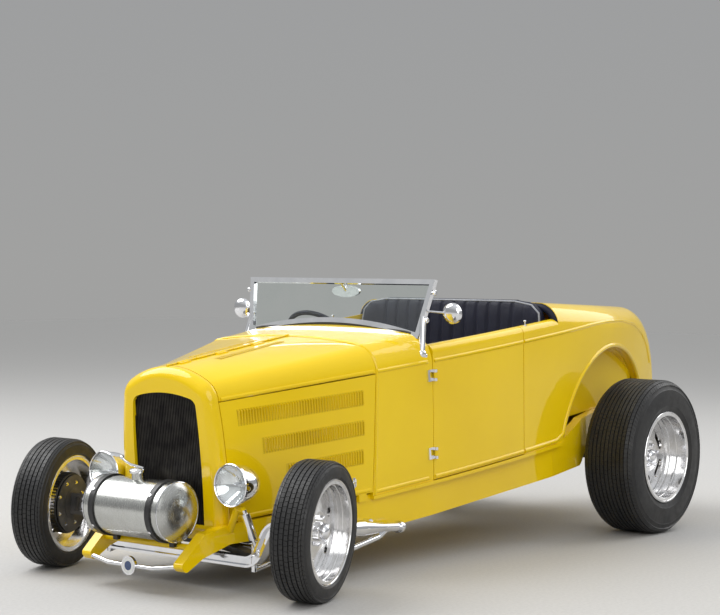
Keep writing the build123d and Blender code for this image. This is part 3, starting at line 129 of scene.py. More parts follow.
class Finish:
    """A material: one Principled shader, and one method that adds any other node."""

    def __init__(self, name):
        self.material = bpy.data.materials.new(name)
        self.material.use_nodes = True
        self.tree = self.material.node_tree
        self.shader = self.tree.nodes["Principled BSDF"]

    def node(self, kind, settings=None, sockets=None, output=0):
        made = self.tree.nodes.new(kind)
        for name, value in (settings or {}).items():
            setattr(made, name, value)
        for key, value in (sockets or {}).items():
            self.feed(made.inputs[key], value)
        return Value(self, made.outputs[output])

    def feed(self, socket, value):
        if isinstance(value, Value):
            self.tree.links.new(value.socket, socket)
        else:
            socket.default_value = value

    def wear(self, **sockets):
        """Sets the shader's sockets: base_color becomes Base Color, and so on."""
        for key, value in sockets.items():
            name = "IOR" if key == "ior" else key.replace("_", " ").title()
            self.feed(self.shader.inputs[name], value)
        return self

    def place(self):
        return self.node("ShaderNodeTexCoord", output="Object")

    def axes(self):
        made = self.tree.nodes.new("ShaderNodeSeparateXYZ")
        self.feed(made.inputs[0], self.place())
        return [Value(self, made.outputs[k]) for k in range(3)]

    def noise(self, scale, detail, at=None):
        return self.node("ShaderNodeTexNoise", {}, {
            "Vector": self.place() if at is None else at, "Scale": scale, "Detail": detail, "Roughness": 0.55,
        })

    def stretched(self, scale):
        """Object coordinates scaled by a vector."""
        return self.node("ShaderNodeMapping", {}, {"Vector": self.place(), "Scale": scale})

    def between(self, factor, first, second):
        """A colour mixed by a factor, through the Mix node's two colour sockets and its colour output."""
        return self.node(
            "ShaderNodeMix", {"data_type": "RGBA"}, {"Factor": factor, 6: first, 7: second}, output=2
        )

    def fade(self, value, low, high, start=0.0, end=1.0):
        """A value that goes from start to end as its input goes from low to high."""
        return self.node("ShaderNodeMapRange", {}, {
            "Value": value, "From Min": low, "From Max": high, "To Min": start, "To Max": end,
        })

    def bump(self, height, strength, distance):
        relief = {"Height": height, "Strength": strength, "Distance": distance}
        return self.node("ShaderNodeBump", {}, relief, output="Normal")


def mottled(name, fresh, worn, patches, sheen=None, grain=None, **sockets):
    """A finish that goes from a fresh to a worn colour in patches, with an uneven sheen and a fine grain.

    patches gives a noise's scale and detail, and the values between which it fades. sheen gives the same and
    the roughness at both. grain gives a noise's scale and detail, and the bump's strength and depth.
    """
    finish = Finish(name)
    scale, detail, low, high = patches
    sockets["base_color"] = finish.between(finish.fade(finish.noise(scale, detail), low, high), fresh, worn)
    if sheen:
        scale, detail, low, high, smooth, rough = sheen
        sockets["roughness"] = finish.fade(finish.noise(scale, detail), low, high, smooth, rough)
    if grain:
        scale, detail, strength, depth = grain
        sockets["normal"] = finish.bump(finish.noise(scale, detail), strength, depth)
    return finish.wear(**sockets)


def put_on(finish, *pieces):
    """Gives pieces one material."""
    for piece in pieces:
        piece.data.materials.clear()
        piece.data.materials.append(finish.material)


ground = bmesh.new()
bmesh.ops.create_grid(ground, x_segments=1, y_segments=1, size=floor_half)
studio_floor = put_in_scene("studio_floor", ground)
put_on(mottled("pale_floor", floor_colour, floor_worn, (60.0, 6.0, 0.35, 0.7), roughness=0.75), studio_floor)

lamp_aim = Vector((0, 0, 0.6))
lamps = (
    ("key_lamp", (3.5, -6.5, 8.5), 10.0, 1150),
    ("fill_lamp", (6.5, 8.5, 5.0), 9.0, 420),
    ("rear_lamp", (-7.5, 3.0, 6.0), 8.0, 330),
)
for lamp_name, lamp_place, lamp_size, lamp_power in lamps:
    lamp_data = bpy.data.lights.new(lamp_name, "AREA")
    lamp_data.shape = "DISK"
    lamp_data.size = lamp_size
    lamp_data.energy = lamp_power
    lamp = bpy.data.objects.new(lamp_name, lamp_data)
    lamp.location = lamp_place
    lamp.rotation_euler = (lamp_aim - Vector(lamp_place)).to_track_quat("-Z", "Y").to_euler()
    bpy.context.scene.collection.objects.link(lamp)

sky_strength = 0.85
sky_stops = (
    (0.0, (0.42, 0.42, 0.415, 1)),
    (0.16, (0.40, 0.405, 0.41, 1)),
    (0.34, (0.62, 0.63, 0.63, 1)),
    (0.85, (0.93, 0.95, 0.97, 1)),
)
world = bpy.data.worlds.new("soft_sky")
world.use_nodes = True
sky_tree = world.node_tree
sky_place = sky_tree.nodes.new("ShaderNodeTexCoord")
sky_parts = sky_tree.nodes.new("ShaderNodeSeparateXYZ")
sky_ramp = sky_tree.nodes.new("ShaderNodeValToRGB")
sky_tree.links.new(sky_place.outputs["Generated"], sky_parts.inputs[0])
sky_tree.links.new(sky_parts.outputs["Z"], sky_ramp.inputs[0])
sky_tree.links.new(sky_ramp.outputs[0], sky_tree.nodes["Background"].inputs["Color"])
while len(sky_ramp.color_ramp.elements) < len(sky_stops):
    sky_ramp.color_ramp.elements.new(0.5)
for element, (position, colour) in zip(sky_ramp.color_ramp.elements, sky_stops):
    element.position = position
    element.color = colour
sky_tree.nodes["Background"].inputs["Strength"].default_value = sky_strength
bpy.context.scene.world = world
bpy.context.scene.view_settings.view_transform = "Standard"

# Body: pressed steel panels in deep yellow lacquer, with clear coat over it. The panels, the frame, the
# floor's edge and the lamp stands are sprayed together, so they share one finish.
lacquer_yellow = (0.87, 0.600, 0.001, 1)
lacquer_deep = (0.80, 0.535, 0.001, 1)
# The darker yellow below is painted shade, used only in the hood's louvre rows.
lacquer_painted_shade = (0.42, 0.270, 0.001, 1)
lacquer_shine = 0.08
coat = 0.8
painted_nodes = [row["node"] for row in frame["record"]["subparts"] if row["material_slot"] == "paint"]


def spray(finish, shade=None):
    """Gives a finish the body's colour and clear coat, and painted shade in a darker yellow, with less clear coat,
    where a mask says so.
    """
    colour = finish.between(finish.fade(finish.noise(1.7, 3.0), 0.3, 0.7), lacquer_yellow, lacquer_deep)
    finish.wear(coat_weight=coat)
    if shade is not None:
        colour = finish.between(shade, colour, lacquer_painted_shade)
        finish.wear(coat_weight=(1.0 - shade) * coat)
    finish.feed(finish.shader.inputs["Specular IOR Level"], lacquer_shine)
    finish.wear(
        base_color=colour,
        roughness=finish.fade(finish.noise(14.0, 4.0), 0.3, 0.7, 0.30, 0.38),
        coat_roughness=0.03,
        normal=finish.bump(finish.noise(260.0, 2.0), 0.04, 0.0006),
    )


lacquer = Finish("yellow_lacquer")
spray(lacquer)
put_on(lacquer, *[nodes[name] for name in painted_nodes])

# Body mouldings: half-round beads rolled into the panels along the belt and the sills, round the wheel arches
# and up the cowl behind the hood. Each bead ends at its own panel's edge.
sides = (("left", 1), ("right", -1))
front_axle_x = 1.558
body_rake = math.radians(6)
ray_start = 1.3
past_panel = 0.4


def spot(u, y, w):
    """A place by its distance ahead of the front axle, its side and its height, in the raked body's frame."""
    return Vector((
        front_axle_x + u * math.cos(body_rake) + w * math.sin(body_rake),
        y,
        w * math.cos(body_rake) - u * math.sin(body_rake),
    ))


body_up = spot(0, 0, 1) - spot(0, 0, 0)
body_ahead = spot(1, 0, 0) - spot(0, 0, 0)


def skin(piece):
    """A tree of a piece's mesh, for casting rays at."""
    points = [corner.co.copy() for corner in piece.data.vertices]
    return BVHTree.FromPolygons(points, [list(face.vertices) for face in piece.data.polygons])


def face_out(maker):
    """Turns a form's faces outwards."""
    bmesh.ops.recalc_face_normals(maker, faces=maker.faces)


def tube(maker, centres, radius, facets):
    """Adds a round bar through a row of places, closed at both ends."""
    rings = []
    for k, centre in enumerate(centres):
        run = centres[min(k + 1, len(centres) - 1)] - centres[max(k - 1, 0)]
        where = Matrix.Translation(centre) @ run.to_track_quat("Z", "Y").to_matrix().to_4x4()
        ends = k in (0, len(centres) - 1)
        made = bmesh.ops.create_circle(maker, cap_ends=ends, segments=facets, radius=radius, matrix=where)
        rings.append(made["verts"])
    for ring, after in zip(rings, rings[1:]):
        bmesh.ops.bridge_loops(maker, edges=loop_edges(ring) + loop_edges(after))
    face_out(maker)
    return maker


def loop_edges(ring):
    """The edges whose two ends lie in one ring of corners."""
    members = set(ring)
    return list({edge for corner in ring for edge in corner.link_edges if edge.other_vert(corner) in members})


def smooth(piece):
    """Shades a piece's faces as one curved surface."""
    piece.data.polygons.foreach_set("use_smooth", [True] * len(piece.data.polygons))


def add_piece(name, maker, finish, body, crease=35):
    """Puts a finished bmesh in the scene, smooth but for its creases, and has it ride on a body."""
    piece = put_in_scene(name, maker)
    smooth(piece)
    piece.data.set_sharp_from_angle(angle=math.radians(crease))
    put_on(finish, piece)
    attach(piece, body)
    return piece


def drop_on(tree, start, aim, sunk):
    """Where a ray from outside meets a panel, sunk a little, or None past the panel."""
    place = tree.ray_cast(start, aim)[0]
    if place is None or (place - start).dot(aim) > abs(start.y) + past_panel or place.y * start.y < 0:
        return None
    return place + aim * sunk


def on_side(tree, u, w, sign, sunk):
    """A place on the skin of the body's side, sunk a little, or None past the panel."""
    return drop_on(tree, spot(u, ray_start * sign, w), Vector((0, -sign, 0)), sunk)


def steps(first, last, count):
    """Evenly spaced numbers from first to last."""
    return [first + (last - first) * k / count for k in range(count + 1)]


def straight(first, last, low, high):
    """A straight row of places along a panel, by distance and height."""
    return list(zip(steps(first, last, 12), steps(low, high, 12)))


def add_bead(name, places, radius, facets, body):
    """Rolls a bead through the places that lie on its panel."""
    bead = tube(bmesh.new(), [place for place in places if place], radius, facets)
    add_piece(name, bead, lacquer, body)


bead_radius = 0.0105
bead_sunk = bead_radius * 0.45
belt = 0.832
sill = 0.289
door_sill = sill + 0.001
hood_sill = 0.303
tail_drop = [(-2.72, 0.822), (-2.92, 0.800), (-3.10, 0.757), (-3.25, 0.690), (-3.36, 0.600), (-3.42, 0.500)]
bead_rows = (
    ("belt_bead_hood", "SIDE_hood_top", "hood_top_SIDE", straight(-0.012, -0.752, 0.811, 0.834)),
    ("belt_bead_cowl", "chassis", "cowl", straight(-0.776, -1.126, belt, belt)),
    ("belt_bead_door", "SIDE_door", "door_SIDE", straight(-1.139, -1.811, belt, belt)),
    ("belt_bead_quarter", "chassis", "rear_body", straight(-1.824, -2.50, belt, belt) + tail_drop),
    ("sill_bead_hood", "chassis", "hood_side_SIDE", straight(-0.012, -0.724, hood_sill, hood_sill)),
    ("sill_bead_cowl", "chassis", "cowl", straight(-0.752, -1.126, sill, sill)),
    ("sill_bead_door", "SIDE_door", "door_SIDE", straight(-1.139, -1.811, door_sill, door_sill)),
)
quarter_sill = straight(-1.824, -2.110, sill, sill)
arch_centre = (-1.134, 0.400)
arch_bead = 0.574
arch_bead_radius = 0.013
arch_bead_sunk = arch_bead_radius * 0.4
quarter = skin(nodes["rear_body"])
for side, sign in sides:
    for name, body, node, row in bead_rows:
        tree = skin(nodes[node.replace("SIDE", side)])
        places = [on_side(tree, u, w, sign, bead_sunk) for u, w in row]
        add_bead(f"{name}_{side}", places, bead_radius, 10, body.replace("SIDE", side))

    places = [on_side(quarter, u, w, sign, bead_sunk) for u, w in quarter_sill]
    for degrees in range(8, 190, 6):
        turn = math.radians(degrees)
        x = arch_centre[0] + arch_bead * math.cos(turn)
        z = arch_centre[1] + arch_bead * math.sin(turn)
        start = Vector((x, ray_start * sign, z))
        places.append(drop_on(quarter, start, Vector((0, -sign, 0)), arch_bead_sunk))
    add_bead(f"arch_bead_{side}", places, arch_bead_radius, 12, "chassis")

cowl_bead_radius = 0.0095
cowl_middle = 0.600
cowl_half_height = 0.42
cowl_foot = -0.7215
cowl_lean = 0.0527
cowl_bead_set = 0.0125
cowl_skin = skin(nodes["cowl"])
places = []
for degrees in range(-34, 215, 4):
    turn = math.radians(degrees)
    u = cowl_foot - cowl_lean * (cowl_middle + cowl_half_height * math.sin(turn)) - cowl_bead_set
    centre = spot(u, 0, cowl_middle)
    outward = spot(u, math.cos(turn), cowl_middle + math.sin(turn)) - centre
    places.append(drop_on(cowl_skin, centre + outward * 1.2, -outward, cowl_bead_radius * 0.5))
add_bead("cowl_bead", places, cowl_bead_radius, 10, "chassis")

# Tyres: black rubber road tyres, narrow in front and wide behind, each moulded in one piece. Grooves part
# the tread into ribs, fine slanting cuts run across the ribs, and two thin rings go round each sidewall.
tyre_sizes = {
    "front": {"radius": 0.290, "width": 0.165, "tread": 0.108, "rim": 0.206, "ribs": 5, "pitches": 84},
    "rear": {"radius": 0.400, "width": 0.289, "tread": 0.205, "rim": 0.224, "ribs": 9, "pitches": 112},
}
block_depth = 0.006
block_gap = 0.0007
groove = 0.0045
cut_slant = 0.9
ring_rise = 0.0012
tread_from = 0.80
sidewall_rows = (
    (0.012, 0.10), (0.004, 0.22), (0.0025, 0.24), (0.0025 - ring_rise, 0.25), (0.0015, 0.27), (0.0002, 0.42),
    (0.0025, 0.58), (0.0055, 0.70), (0.0055 - ring_rise, 0.715), (0.0065, 0.73), (0.011, 0.83),
)


def stand(place, axis, up=(0, 0, 1)):
    """The matrix that takes local Z to an axis at a place."""
    z = Vector(axis).normalized()
    x = Vector(up).cross(z)
    x = (x if x.length > 0.01 else Vector((1, 0, 0)).cross(z)).normalized()
    y = z.cross(x)
    turn = Matrix((x, y, z)).transposed().to_4x4()
    return Matrix.Translation(Vector(place)) @ turn


def turned(maker, profile, where, facets):
    """Spins a profile of (place along the axis, radius) pairs about local Z and puts it in place."""
    fresh = bmesh.new()
    corners = [fresh.verts.new((radius, 0, along)) for along, radius in profile]
    pairs = list(zip(corners, corners[1:]))
    if min(radius for _, radius in profile) > 0:
        pairs.append((corners[-1], corners[0]))
    edges = [fresh.edges.new(pair) for pair in pairs]
    bmesh.ops.spin(
        fresh, geom=corners + edges, cent=(0, 0, 0), axis=(0, 0, 1), dvec=(0, 0, 0), angle=math.tau,
        steps=facets, use_merge=True,
    )
    bmesh.ops.remove_doubles(fresh, verts=fresh.verts, dist=1e-6)
    face_out(fresh)
    bmesh.ops.transform(fresh, matrix=where, verts=fresh.verts)
    join(maker, fresh)
    return maker


def join(maker, fresh):
    """Adds one bmesh to another."""
    mesh = bpy.data.meshes.new("joined")
    fresh.to_mesh(mesh)
    fresh.free()
    maker.from_mesh(mesh)
    bpy.data.meshes.remove(mesh)


def tyre_form(radius, width, tread, rim, ribs, pitches):
    """A tyre about local Z, with its blocks raised from the tread's floor."""
    half = width / 2
    height = radius - rim
    floor_radius = radius - block_depth
    sidewall = [(half - 0.022, rim + 0.001)]
    sidewall += [(half - inset, rim + share * height) for inset, share in sidewall_rows]
    shoulder = tread / 2 + (sidewall[-1][0] - tread / 2) * 0.45
    sidewall.append((shoulder, floor_radius - height * 0.045))
    rib = tread / ribs
    bands = []
    for k in range(ribs):
        edge = tread / 2 - rib * k
        bands += [(edge - groove / 2, floor_radius), (edge - rib + groove / 2, floor_radius)]
    profile = sidewall + bands + [(-along, r) for along, r in reversed(sidewall)]
    fresh = turned(bmesh.new(), profile, Matrix.Identity(4), pitches)
    low = rim + tread_from * height
    blocks = []
    for face in fresh.faces:
        middle = face.calc_center_median()
        reach = [corner.co.z for corner in face.verts]
        if math.hypot(middle.x, middle.y) > low and max(reach) - min(reach) > groove * 1.5:
            blocks.append(face)
    bmesh.ops.inset_individual(
        fresh, faces=blocks, thickness=block_gap, depth=block_depth, use_even_offset=True
    )
    for corner in fresh.verts:
        if math.hypot(corner.co.x, corner.co.y) > low:
            zigzag = abs((corner.co.z / rib) % 2.0 - 1.0) - 0.5
            corner.co = Matrix.Rotation(zigzag * cut_slant * math.tau / pitches, 3, "Z") @ corner.co
    return fresh


rubber = Finish("tyre_rubber")
dust = rubber.fade(rubber.noise(90.0, 3.0), 0.45, 0.75)
dusty = rubber.between(dust, (0.008, 0.008, 0.009, 1), (0.015, 0.015, 0.015, 1))
scuff = rubber.fade(rubber.noise(7.0, 6.0), 0.35, 0.7)
rubber.wear(
    base_color=rubber.between(scuff, dusty, (0.020, 0.019, 0.018, 1)),
    roughness=rubber.fade(rubber.noise(25.0, 4.0), 0.3, 0.7, 0.42, 0.62),
    normal=rubber.bump(rubber.noise(380.0, 3.0), 0.15, 0.0006),
)
wheel_stands = {}
for end, sizes in tyre_sizes.items():
    for side, sign in sides:
        wheel = f"{end}_{side}"
        axis = Vector(joints[wheel + "_roll"]["axis"])
        wheel_stands[wheel] = stand(joints[wheel + "_roll"]["pos_m"], axis if axis.y * sign > 0 else -axis)
        fresh = tyre_form(**sizes)
        bmesh.ops.transform(fresh, matrix=wheel_stands[wheel], verts=fresh.verts)
        tyre = add_piece("tread_tyre_" + wheel, fresh, rubber, wheel + "_wheel", crease=28)
        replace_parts(tyre, "tyre_" + wheel)

# Wheels: cast aluminium, polished all over, with a deep dish, round windows in front and slots behind. Each
# has a rolled lip, a stepped barrel, a plain cap and five chrome nuts on washers, and a finned drum behind.
polish = mottled(
    "polished_aluminium", (0.86, 0.86, 0.87, 1), (0.70, 0.69, 0.68, 1), (22.0, 5.0, 0.3, 0.75),
    sheen=(55.0, 5.0, 0.3, 0.8, 0.08, 0.24), grain=(180.0, 2.0, 0.03, 0.0005), metallic=1.0,
)
bright_chrome = mottled(
    "bright_chrome", (0.90, 0.90, 0.92, 1), (0.74, 0.75, 0.78, 1), (11.0, 5.0, 0.3, 0.8),
    sheen=(40.0, 4.0, 0.35, 0.8, 0.02, 0.11), metallic=1.0,
)
drum_black = mottled(
    "drum_enamel", (0.016, 0.016, 0.017, 1), (0.050, 0.046, 0.042, 1), (35.0, 5.0, 0.4, 0.8),
    sheen=(20.0, 3.0, 0.3, 0.7, 0.35, 0.6), grain=(150.0, 4.0, 0.2, 0.0008),
)
wheel_trims = {
    "front": {"rim": 0.206, "lip": 0.0685, "face": 0.018, "drum": 0.128, "fins": (-0.058, -0.016)},
    "rear": {"rim": 0.224, "lip": 0.1305, "face": 0.036, "drum": 0.138, "fins": (-0.118, -0.002)},
}
lip_out = 0.0035
lip_over_rim = 0.0095
lip_roll = 0.0052
barrel_steps = ((0.62, 0.0035), (0.30, 0.0028))
barrel_inset = 0.0085
hub_end = 0.040
cap_radius = 0.034
cap_profile = [
    (hub_end - 0.004, 0.0),
    (hub_end - 0.004, cap_radius),
    (hub_end + 0.008, cap_radius),
    (hub_end + 0.014, cap_radius - 0.003),
    (hub_end + 0.022, cap_radius * 0.72),
    (hub_end + 0.026, cap_radius * 0.4),
    (hub_end + 0.027, 0.0),
]
nut_circle = 0.057
nut_turn = 0.3
nut_radius = 0.0095
nut_height = 0.016
nut_sunk = 0.002
nut_dome = nut_radius * 0.84
washer_profile = [(0, 0), (0, 0.0125), (0.003, 0.0125), (0.003, 0)]
fin_count = 54
fin_section = (0.012, 0.0028)
fin_out = 0.004


def half_round(along, radius, size, facets=10):
    """The profile of a rolled edge about a place and radius."""
    turns = [math.tau * k / facets for k in range(facets)]
    return [(along + size * math.cos(turn), radius + size * math.sin(turn)) for turn in turns]


def lift(height):
    """The matrix that raises a form along local Z."""
    return Matrix.Translation((0, 0, height))


def box(maker, where, size):
    """Adds a block of a size, its middle in place."""
    bmesh.ops.create_cube(maker, size=1.0, matrix=where @ Matrix.Diagonal((*size, 1)))


def ball(maker, where, radius, around, over):
    """Adds a ball in place, with so many faces around it and over it."""
    bmesh.ops.create_uvsphere(maker, u_segments=around, v_segments=over, radius=radius, matrix=where)


def hexagon(maker, where, foot, head, height):
    """Adds a six-sided bar, its middle in place, by the radius of its foot and of its head."""
    bmesh.ops.create_cone(
        maker, cap_ends=True, segments=6, radius1=foot, radius2=head, depth=height, matrix=where
    )


def add_chrome(name, maker, body="chassis"):
    """Puts a finished chromed piece in the scene."""
    return add_piece(name, maker, bright_chrome, body)


for wheel, where in wheel_stands.items():
    trim = wheel_trims[wheel.split("_")[0]]
    body = wheel + "_wheel"
    put_on(polish, nodes["wheel_" + wheel])
    maker = bmesh.new()
    for sign in (1, -1):
        lip = half_round(sign * (trim["lip"] + lip_out), trim["rim"] + lip_over_rim, lip_roll)
        turned(maker, lip, where, 96)
    for share, size in barrel_steps:
        turned(maker, half_round(trim["lip"] * share, trim["rim"] - barrel_inset, size, 8), where, 96)
    add_piece("rim_roll_" + wheel, maker, polish, body)

    maker = turned(bmesh.new(), cap_profile, where, 40)
    for k in range(5):
        turn = Matrix.Rotation(math.tau * k / 5 + nut_turn, 4, "Z")
        seat = where @ turn @ Matrix.Translation((nut_circle, 0, trim["face"] - nut_sunk))
        turned(maker, washer_profile, seat, 20)
        hexagon(maker, seat @ lift(nut_height / 2 + 0.003), nut_radius, nut_radius, nut_height)
        ball(maker, seat @ lift(nut_height + 0.0025), nut_dome, 12, 8)
    add_chrome("nuts_and_cap_" + wheel, maker, body)

    maker = bmesh.new()
    inner, outer = trim["fins"]
    fin_place = Matrix.Translation((trim["drum"] + fin_out, 0, (inner + outer) / 2))
    for k in range(fin_count):
        turn = Matrix.Rotation(math.tau * k / fin_count, 4, "Z")
        box(maker, where @ turn @ fin_place, (*fin_section, outer - inner))
    turned(maker, half_round(inner, trim["drum"] + 0.002, 0.004, 8), where, 64)
    add_piece("drum_fins_" + wheel, maker, drum_black, body)

# Headlights: deep spun bowls, chromed, each with a rolled rim, a silvered reflector with its bulb, and a
# domed glass lens with upright flutes pressed into it. They stand on painted stalks from the frame.
lamp_place = (0.128, 0.372, 0.460)
lamp_radius = 0.091
lamp_length = 0.150
lens_radius = 0.0845
lens_dome = 0.0075
lens_thick = 0.003
flute_pitch = 0.0075
reflector_depth = 0.060
reflector_set = 0.004
bulb_radius = 0.009
bulb_depth = 0.032
bulb_holder = [(-0.062, 0.0), (-0.062, 0.010), (-0.040, 0.010), (-0.036, 0.0)]


def dished(height, reach, radius, count):
    """A profile that falls from a height at the middle to nothing at a radius, as far out as it reaches."""
    return [(height * (1 - (r / radius) ** 2), r) for r in steps(0.0, reach, count)]


bowl_profile = [(0.0, lens_radius), (0.003, lens_radius + 0.002), (0.004, lamp_radius - 0.003)]
bowl_profile += [(0.001, lamp_radius), (-0.013, lamp_radius), (-0.016, lamp_radius - 0.004)]
bowl_profile += [
    (-0.016 - (lamp_length - 0.018) * math.sin(turn), (lamp_radius - 0.005) * math.cos(turn) ** 0.75)
    for turn in (0.12, 0.3, 0.5, 0.7, 0.9, 1.1, 1.27, 1.4, 1.5)
]
bowl_profile += [(-lamp_length + 0.002, 0.0)]
reflector_profile = [
    (along - reflector_set, r) for along, r in dished(-reflector_depth, lens_radius - 0.001, lens_radius, 12)
]
lens_profile = dished(lens_dome, lens_radius, lens_radius, 14)
lens_profile += [(along - lens_thick, r) for along, r in reversed(lens_profile)]

silvered = mottled(
    "silvered_reflector", (0.93, 0.93, 0.94, 1), (0.84, 0.85, 0.86, 1), (30.0, 3.0, 0.3, 0.8),
    sheen=(60.0, 2.0, 0.3, 0.8, 0.03, 0.09), metallic=1.0,
)
fluted_glass = mottled(
    "fluted_lens_glass", (0.97, 0.98, 0.98, 1), (0.90, 0.93, 0.93, 1), (18.0, 3.0, 0.3, 0.8),
    sheen=(35.0, 3.0, 0.3, 0.8, 0.02, 0.08), transmission_weight=1.0, ior=1.30,
)
flutes = (fluted_glass.axes()[1] * (math.tau / flute_pitch)).sine()
fluted_glass.wear(normal=fluted_glass.bump(flutes, 0.22, 0.0008))
bowls = bmesh.new()
reflectors = bmesh.new()
lenses = bmesh.new()
bulbs = bmesh.new()
for _, sign in sides:
    where = stand((front_axle_x + lamp_place[0], lamp_place[1] * sign, lamp_place[2]), (1, 0, 0))
    turned(bowls, bowl_profile, where, 72)
    turned(reflectors, reflector_profile, where, 48)
    turned(lenses, lens_profile, where, 64)
    ball(bulbs, where @ lift(-bulb_depth), bulb_radius, 16, 10)
    turned(bulbs, bulb_holder, where, 20)
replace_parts(add_chrome("headlight_bowls", bowls), "headlights")
add_piece("headlight_reflectors", reflectors, silvered, "chassis")
add_piece("headlight_lenses", lenses, fluted_glass, "chassis")
add_chrome("headlight_bulbs", bulbs)

# Barrel tank: a spun steel drum with domed ends, held in front of the grille by two dark straps. Its cap has
# a throw-over lever, each strap two clamp bolts, and a welded seam runs round each end.
tank_place = spot(0.239, 0, 0.376)
tank_radius = 0.125
tank_half = 0.214
seam_radius = 0.0028
cap_rise = tank_radius + 0.026
tank_cap = [
    (0.0, 0.0), (0.0, 0.032), (0.005, 0.034), (0.013, 0.034), (0.017, 0.030), (0.020, 0.018), (0.022, 0.0),
]
lever_turn = math.radians(205)
lever_radius = 0.0055
lever = [(-0.026, 0, 0.018), (0.0, 0, 0.026), (0.028, 0, 0.034), (0.052, 0, 0.050), (0.066, 0, 0.066)]
lever_knob = 0.009
hinge_pin = [(-0.028, -0.014, 0.014), (-0.028, 0.014, 0.014)]
strap_side = 0.165
strap_bolt_out = 0.132
drum_steel = mottled(
    "spun_drum_steel", (0.60, 0.61, 0.59, 1), (0.46, 0.46, 0.44, 1), (9.0, 4.0, 0.3, 0.75), metallic=1.0
)
spun_lines = drum_steel.noise(1.0, 4.0, at=drum_steel.stretched((40.0, 900.0, 40.0)))
drum_steel.wear(
    roughness=drum_steel.fade(spun_lines, 0.3, 0.7, 0.16, 0.30),
    normal=drum_steel.bump(spun_lines, 0.05, 0.0005),
)
put_on(drum_steel, nodes["barrel_tank"])
fittings = bmesh.new()
for sign in (1, -1):
    seam = half_round(sign * tank_half, tank_radius, seam_radius, 8)
    turned(fittings, seam, stand(tank_place, (0, 1, 0)), 72)
cap_stand = stand(tank_place + body_up * cap_rise, body_up)
turned(fittings, tank_cap, cap_stand, 40)
lever_stand = cap_stand @ Matrix.Rotation(lever_turn, 4, "Z")
tube(fittings, [lever_stand @ Vector(point) for point in lever], lever_radius, 12)
ball(fittings, lever_stand @ Matrix.Translation(lever[-1]), lever_knob, 14, 10)
tube(fittings, [lever_stand @ Vector(point) for point in hinge_pin], 0.0045, 10)
add_chrome("tank_cap_and_seams", fittings)
straps = mottled(
    "strap_enamel", (0.010, 0.010, 0.011, 1), (0.035, 0.034, 0.033, 1), (40.0, 4.0, 0.4, 0.8),
    sheen=(60.0, 3.0, 0.3, 0.7, 0.28, 0.5), grain=(220.0, 3.0, 0.1, 0.0004),
)
put_on(straps, nodes["tank_bracket"])
clamps = bmesh.new()
for y in (-strap_side, strap_side):
    for tilt in (math.radians(35), math.radians(-35)):
        outward = Vector((math.cos(tilt), 0, -math.sin(tilt)))
        seat = tank_place + outward * strap_bolt_out + Vector((0, y, 0))
        hexagon(clamps, stand(seat, outward), 0.007, 0.007, 0.009)
add_chrome("strap_bolts", clamps)

# Grille: close upright bars in black chrome in front of the radiator core, in a painted shell. The round
# badge on the front bar is blank, with a white enamel ring round a blue middle.
grille_black = mottled(
    "grille_black_chrome", (0.030, 0.028, 0.028, 1), (0.085, 0.078, 0.070, 1), (16.0, 4.0, 0.35, 0.75),
    sheen=(50.0, 3.0, 0.3, 0.7, 0.28, 0.46), metallic=0.75,
)
put_on(grille_black, nodes["grille_insert"])
core_pitch = 0.0036
core = Finish("radiator_core")
core_row = (core.axes()[2] * (math.tau / core_pitch)).sine()
core_edges = core.fade(core_row, -0.4, 0.4)
core.wear(
    base_color=core.between(core_edges, (0.004, 0.004, 0.004, 1), (0.020, 0.019, 0.018, 1)),
    roughness=core.fade(core.noise(30.0, 3.0), 0.3, 0.7, 0.5, 0.7),
    normal=core.bump(core_row, 0.5, 0.001),
)
put_on(core, nodes["radiator"])

badge_thick = 0.0141
badge_stand = stand(spot(0.318, 0, 0.148) + Vector((badge_thick, 0, 0)), (1, 0, 0))
badge_rows = (
    ("badge_ring", "badge_enamel_white", (0.70, 0.70, 0.68, 1), (0.58, 0.58, 0.57, 1), 48,
     [(0, 0.020), (0, 0.034), (0.0010, 0.034), (0.0010, 0.020)]),
    ("badge_middle", "badge_enamel_blue", (0.030, 0.060, 0.16, 1), (0.020, 0.042, 0.12, 1), 40,
     [(0, 0), (0, 0.0195), (0.0012, 0.0192), (0.0018, 0)]),
)
for name, finish_name, fresh_colour, worn_colour, facets, profile in badge_rows:
    enamel = mottled(
        finish_name, fresh_colour, worn_colour, (60.0, 3.0, 0.3, 0.7), roughness=0.2, coat_weight=0.6
    )
    add_piece(name, turned(bmesh.new(), profile, badge_stand, facets), enamel, "chassis")

# Windshield: clear glass in a polished channel on two posts, with a black seal under its arched lower bar,
# two clamp knobs on each post and a small stepped cover at each foot.
screen_glass = mottled(
    "screen_glass", (0.93, 0.97, 0.95, 1), (0.86, 0.92, 0.90, 1), (5.0, 4.0, 0.3, 0.8),
    sheen=(26.0, 4.0, 0.4, 0.9, 0.0, 0.05), transmission_weight=1.0, ior=1.05, coat_weight=1.0,
)
black_rubber = mottled(
    "black_rubber", (0.012, 0.012, 0.012, 1), (0.028, 0.028, 0.027, 1), (60.0, 3.0, 0.3, 0.7),
    grain=(300.0, 2.0, 0.12, 0.0005), roughness=0.62,
)
put_on(screen_glass, nodes["windshield_glass"])
put_on(bright_chrome, nodes["windshield_frame"])
screen_lean = math.radians(19.6)
screen_foot = spot(-1.110, 0, 0.946)
screen_up = body_up * math.cos(screen_lean) - body_ahead * math.sin(screen_lean)
screen_half = 0.504
screen_height = 0.254
screen_spread = 0.043
screen_arch = 0.062
seal_drop = 0.02
seal_half = 0.470
seal_radius = 0.009
seal_lift = 0.002
knob_out = 0.012
knob_profile = [
    (0.0, 0.0), (0.0, 0.007), (0.008, 0.007), (0.009, 0.012), (0.016, 0.013), (0.020, 0.009), (0.021, 0.0),
]
foot_place = (-1.082, 0.545, 0.868)
foot_size = (0.026, 0.016, 0.022)
foot_step = (0.012, 0.010)
foot_shrink = (0.004, 0.003)


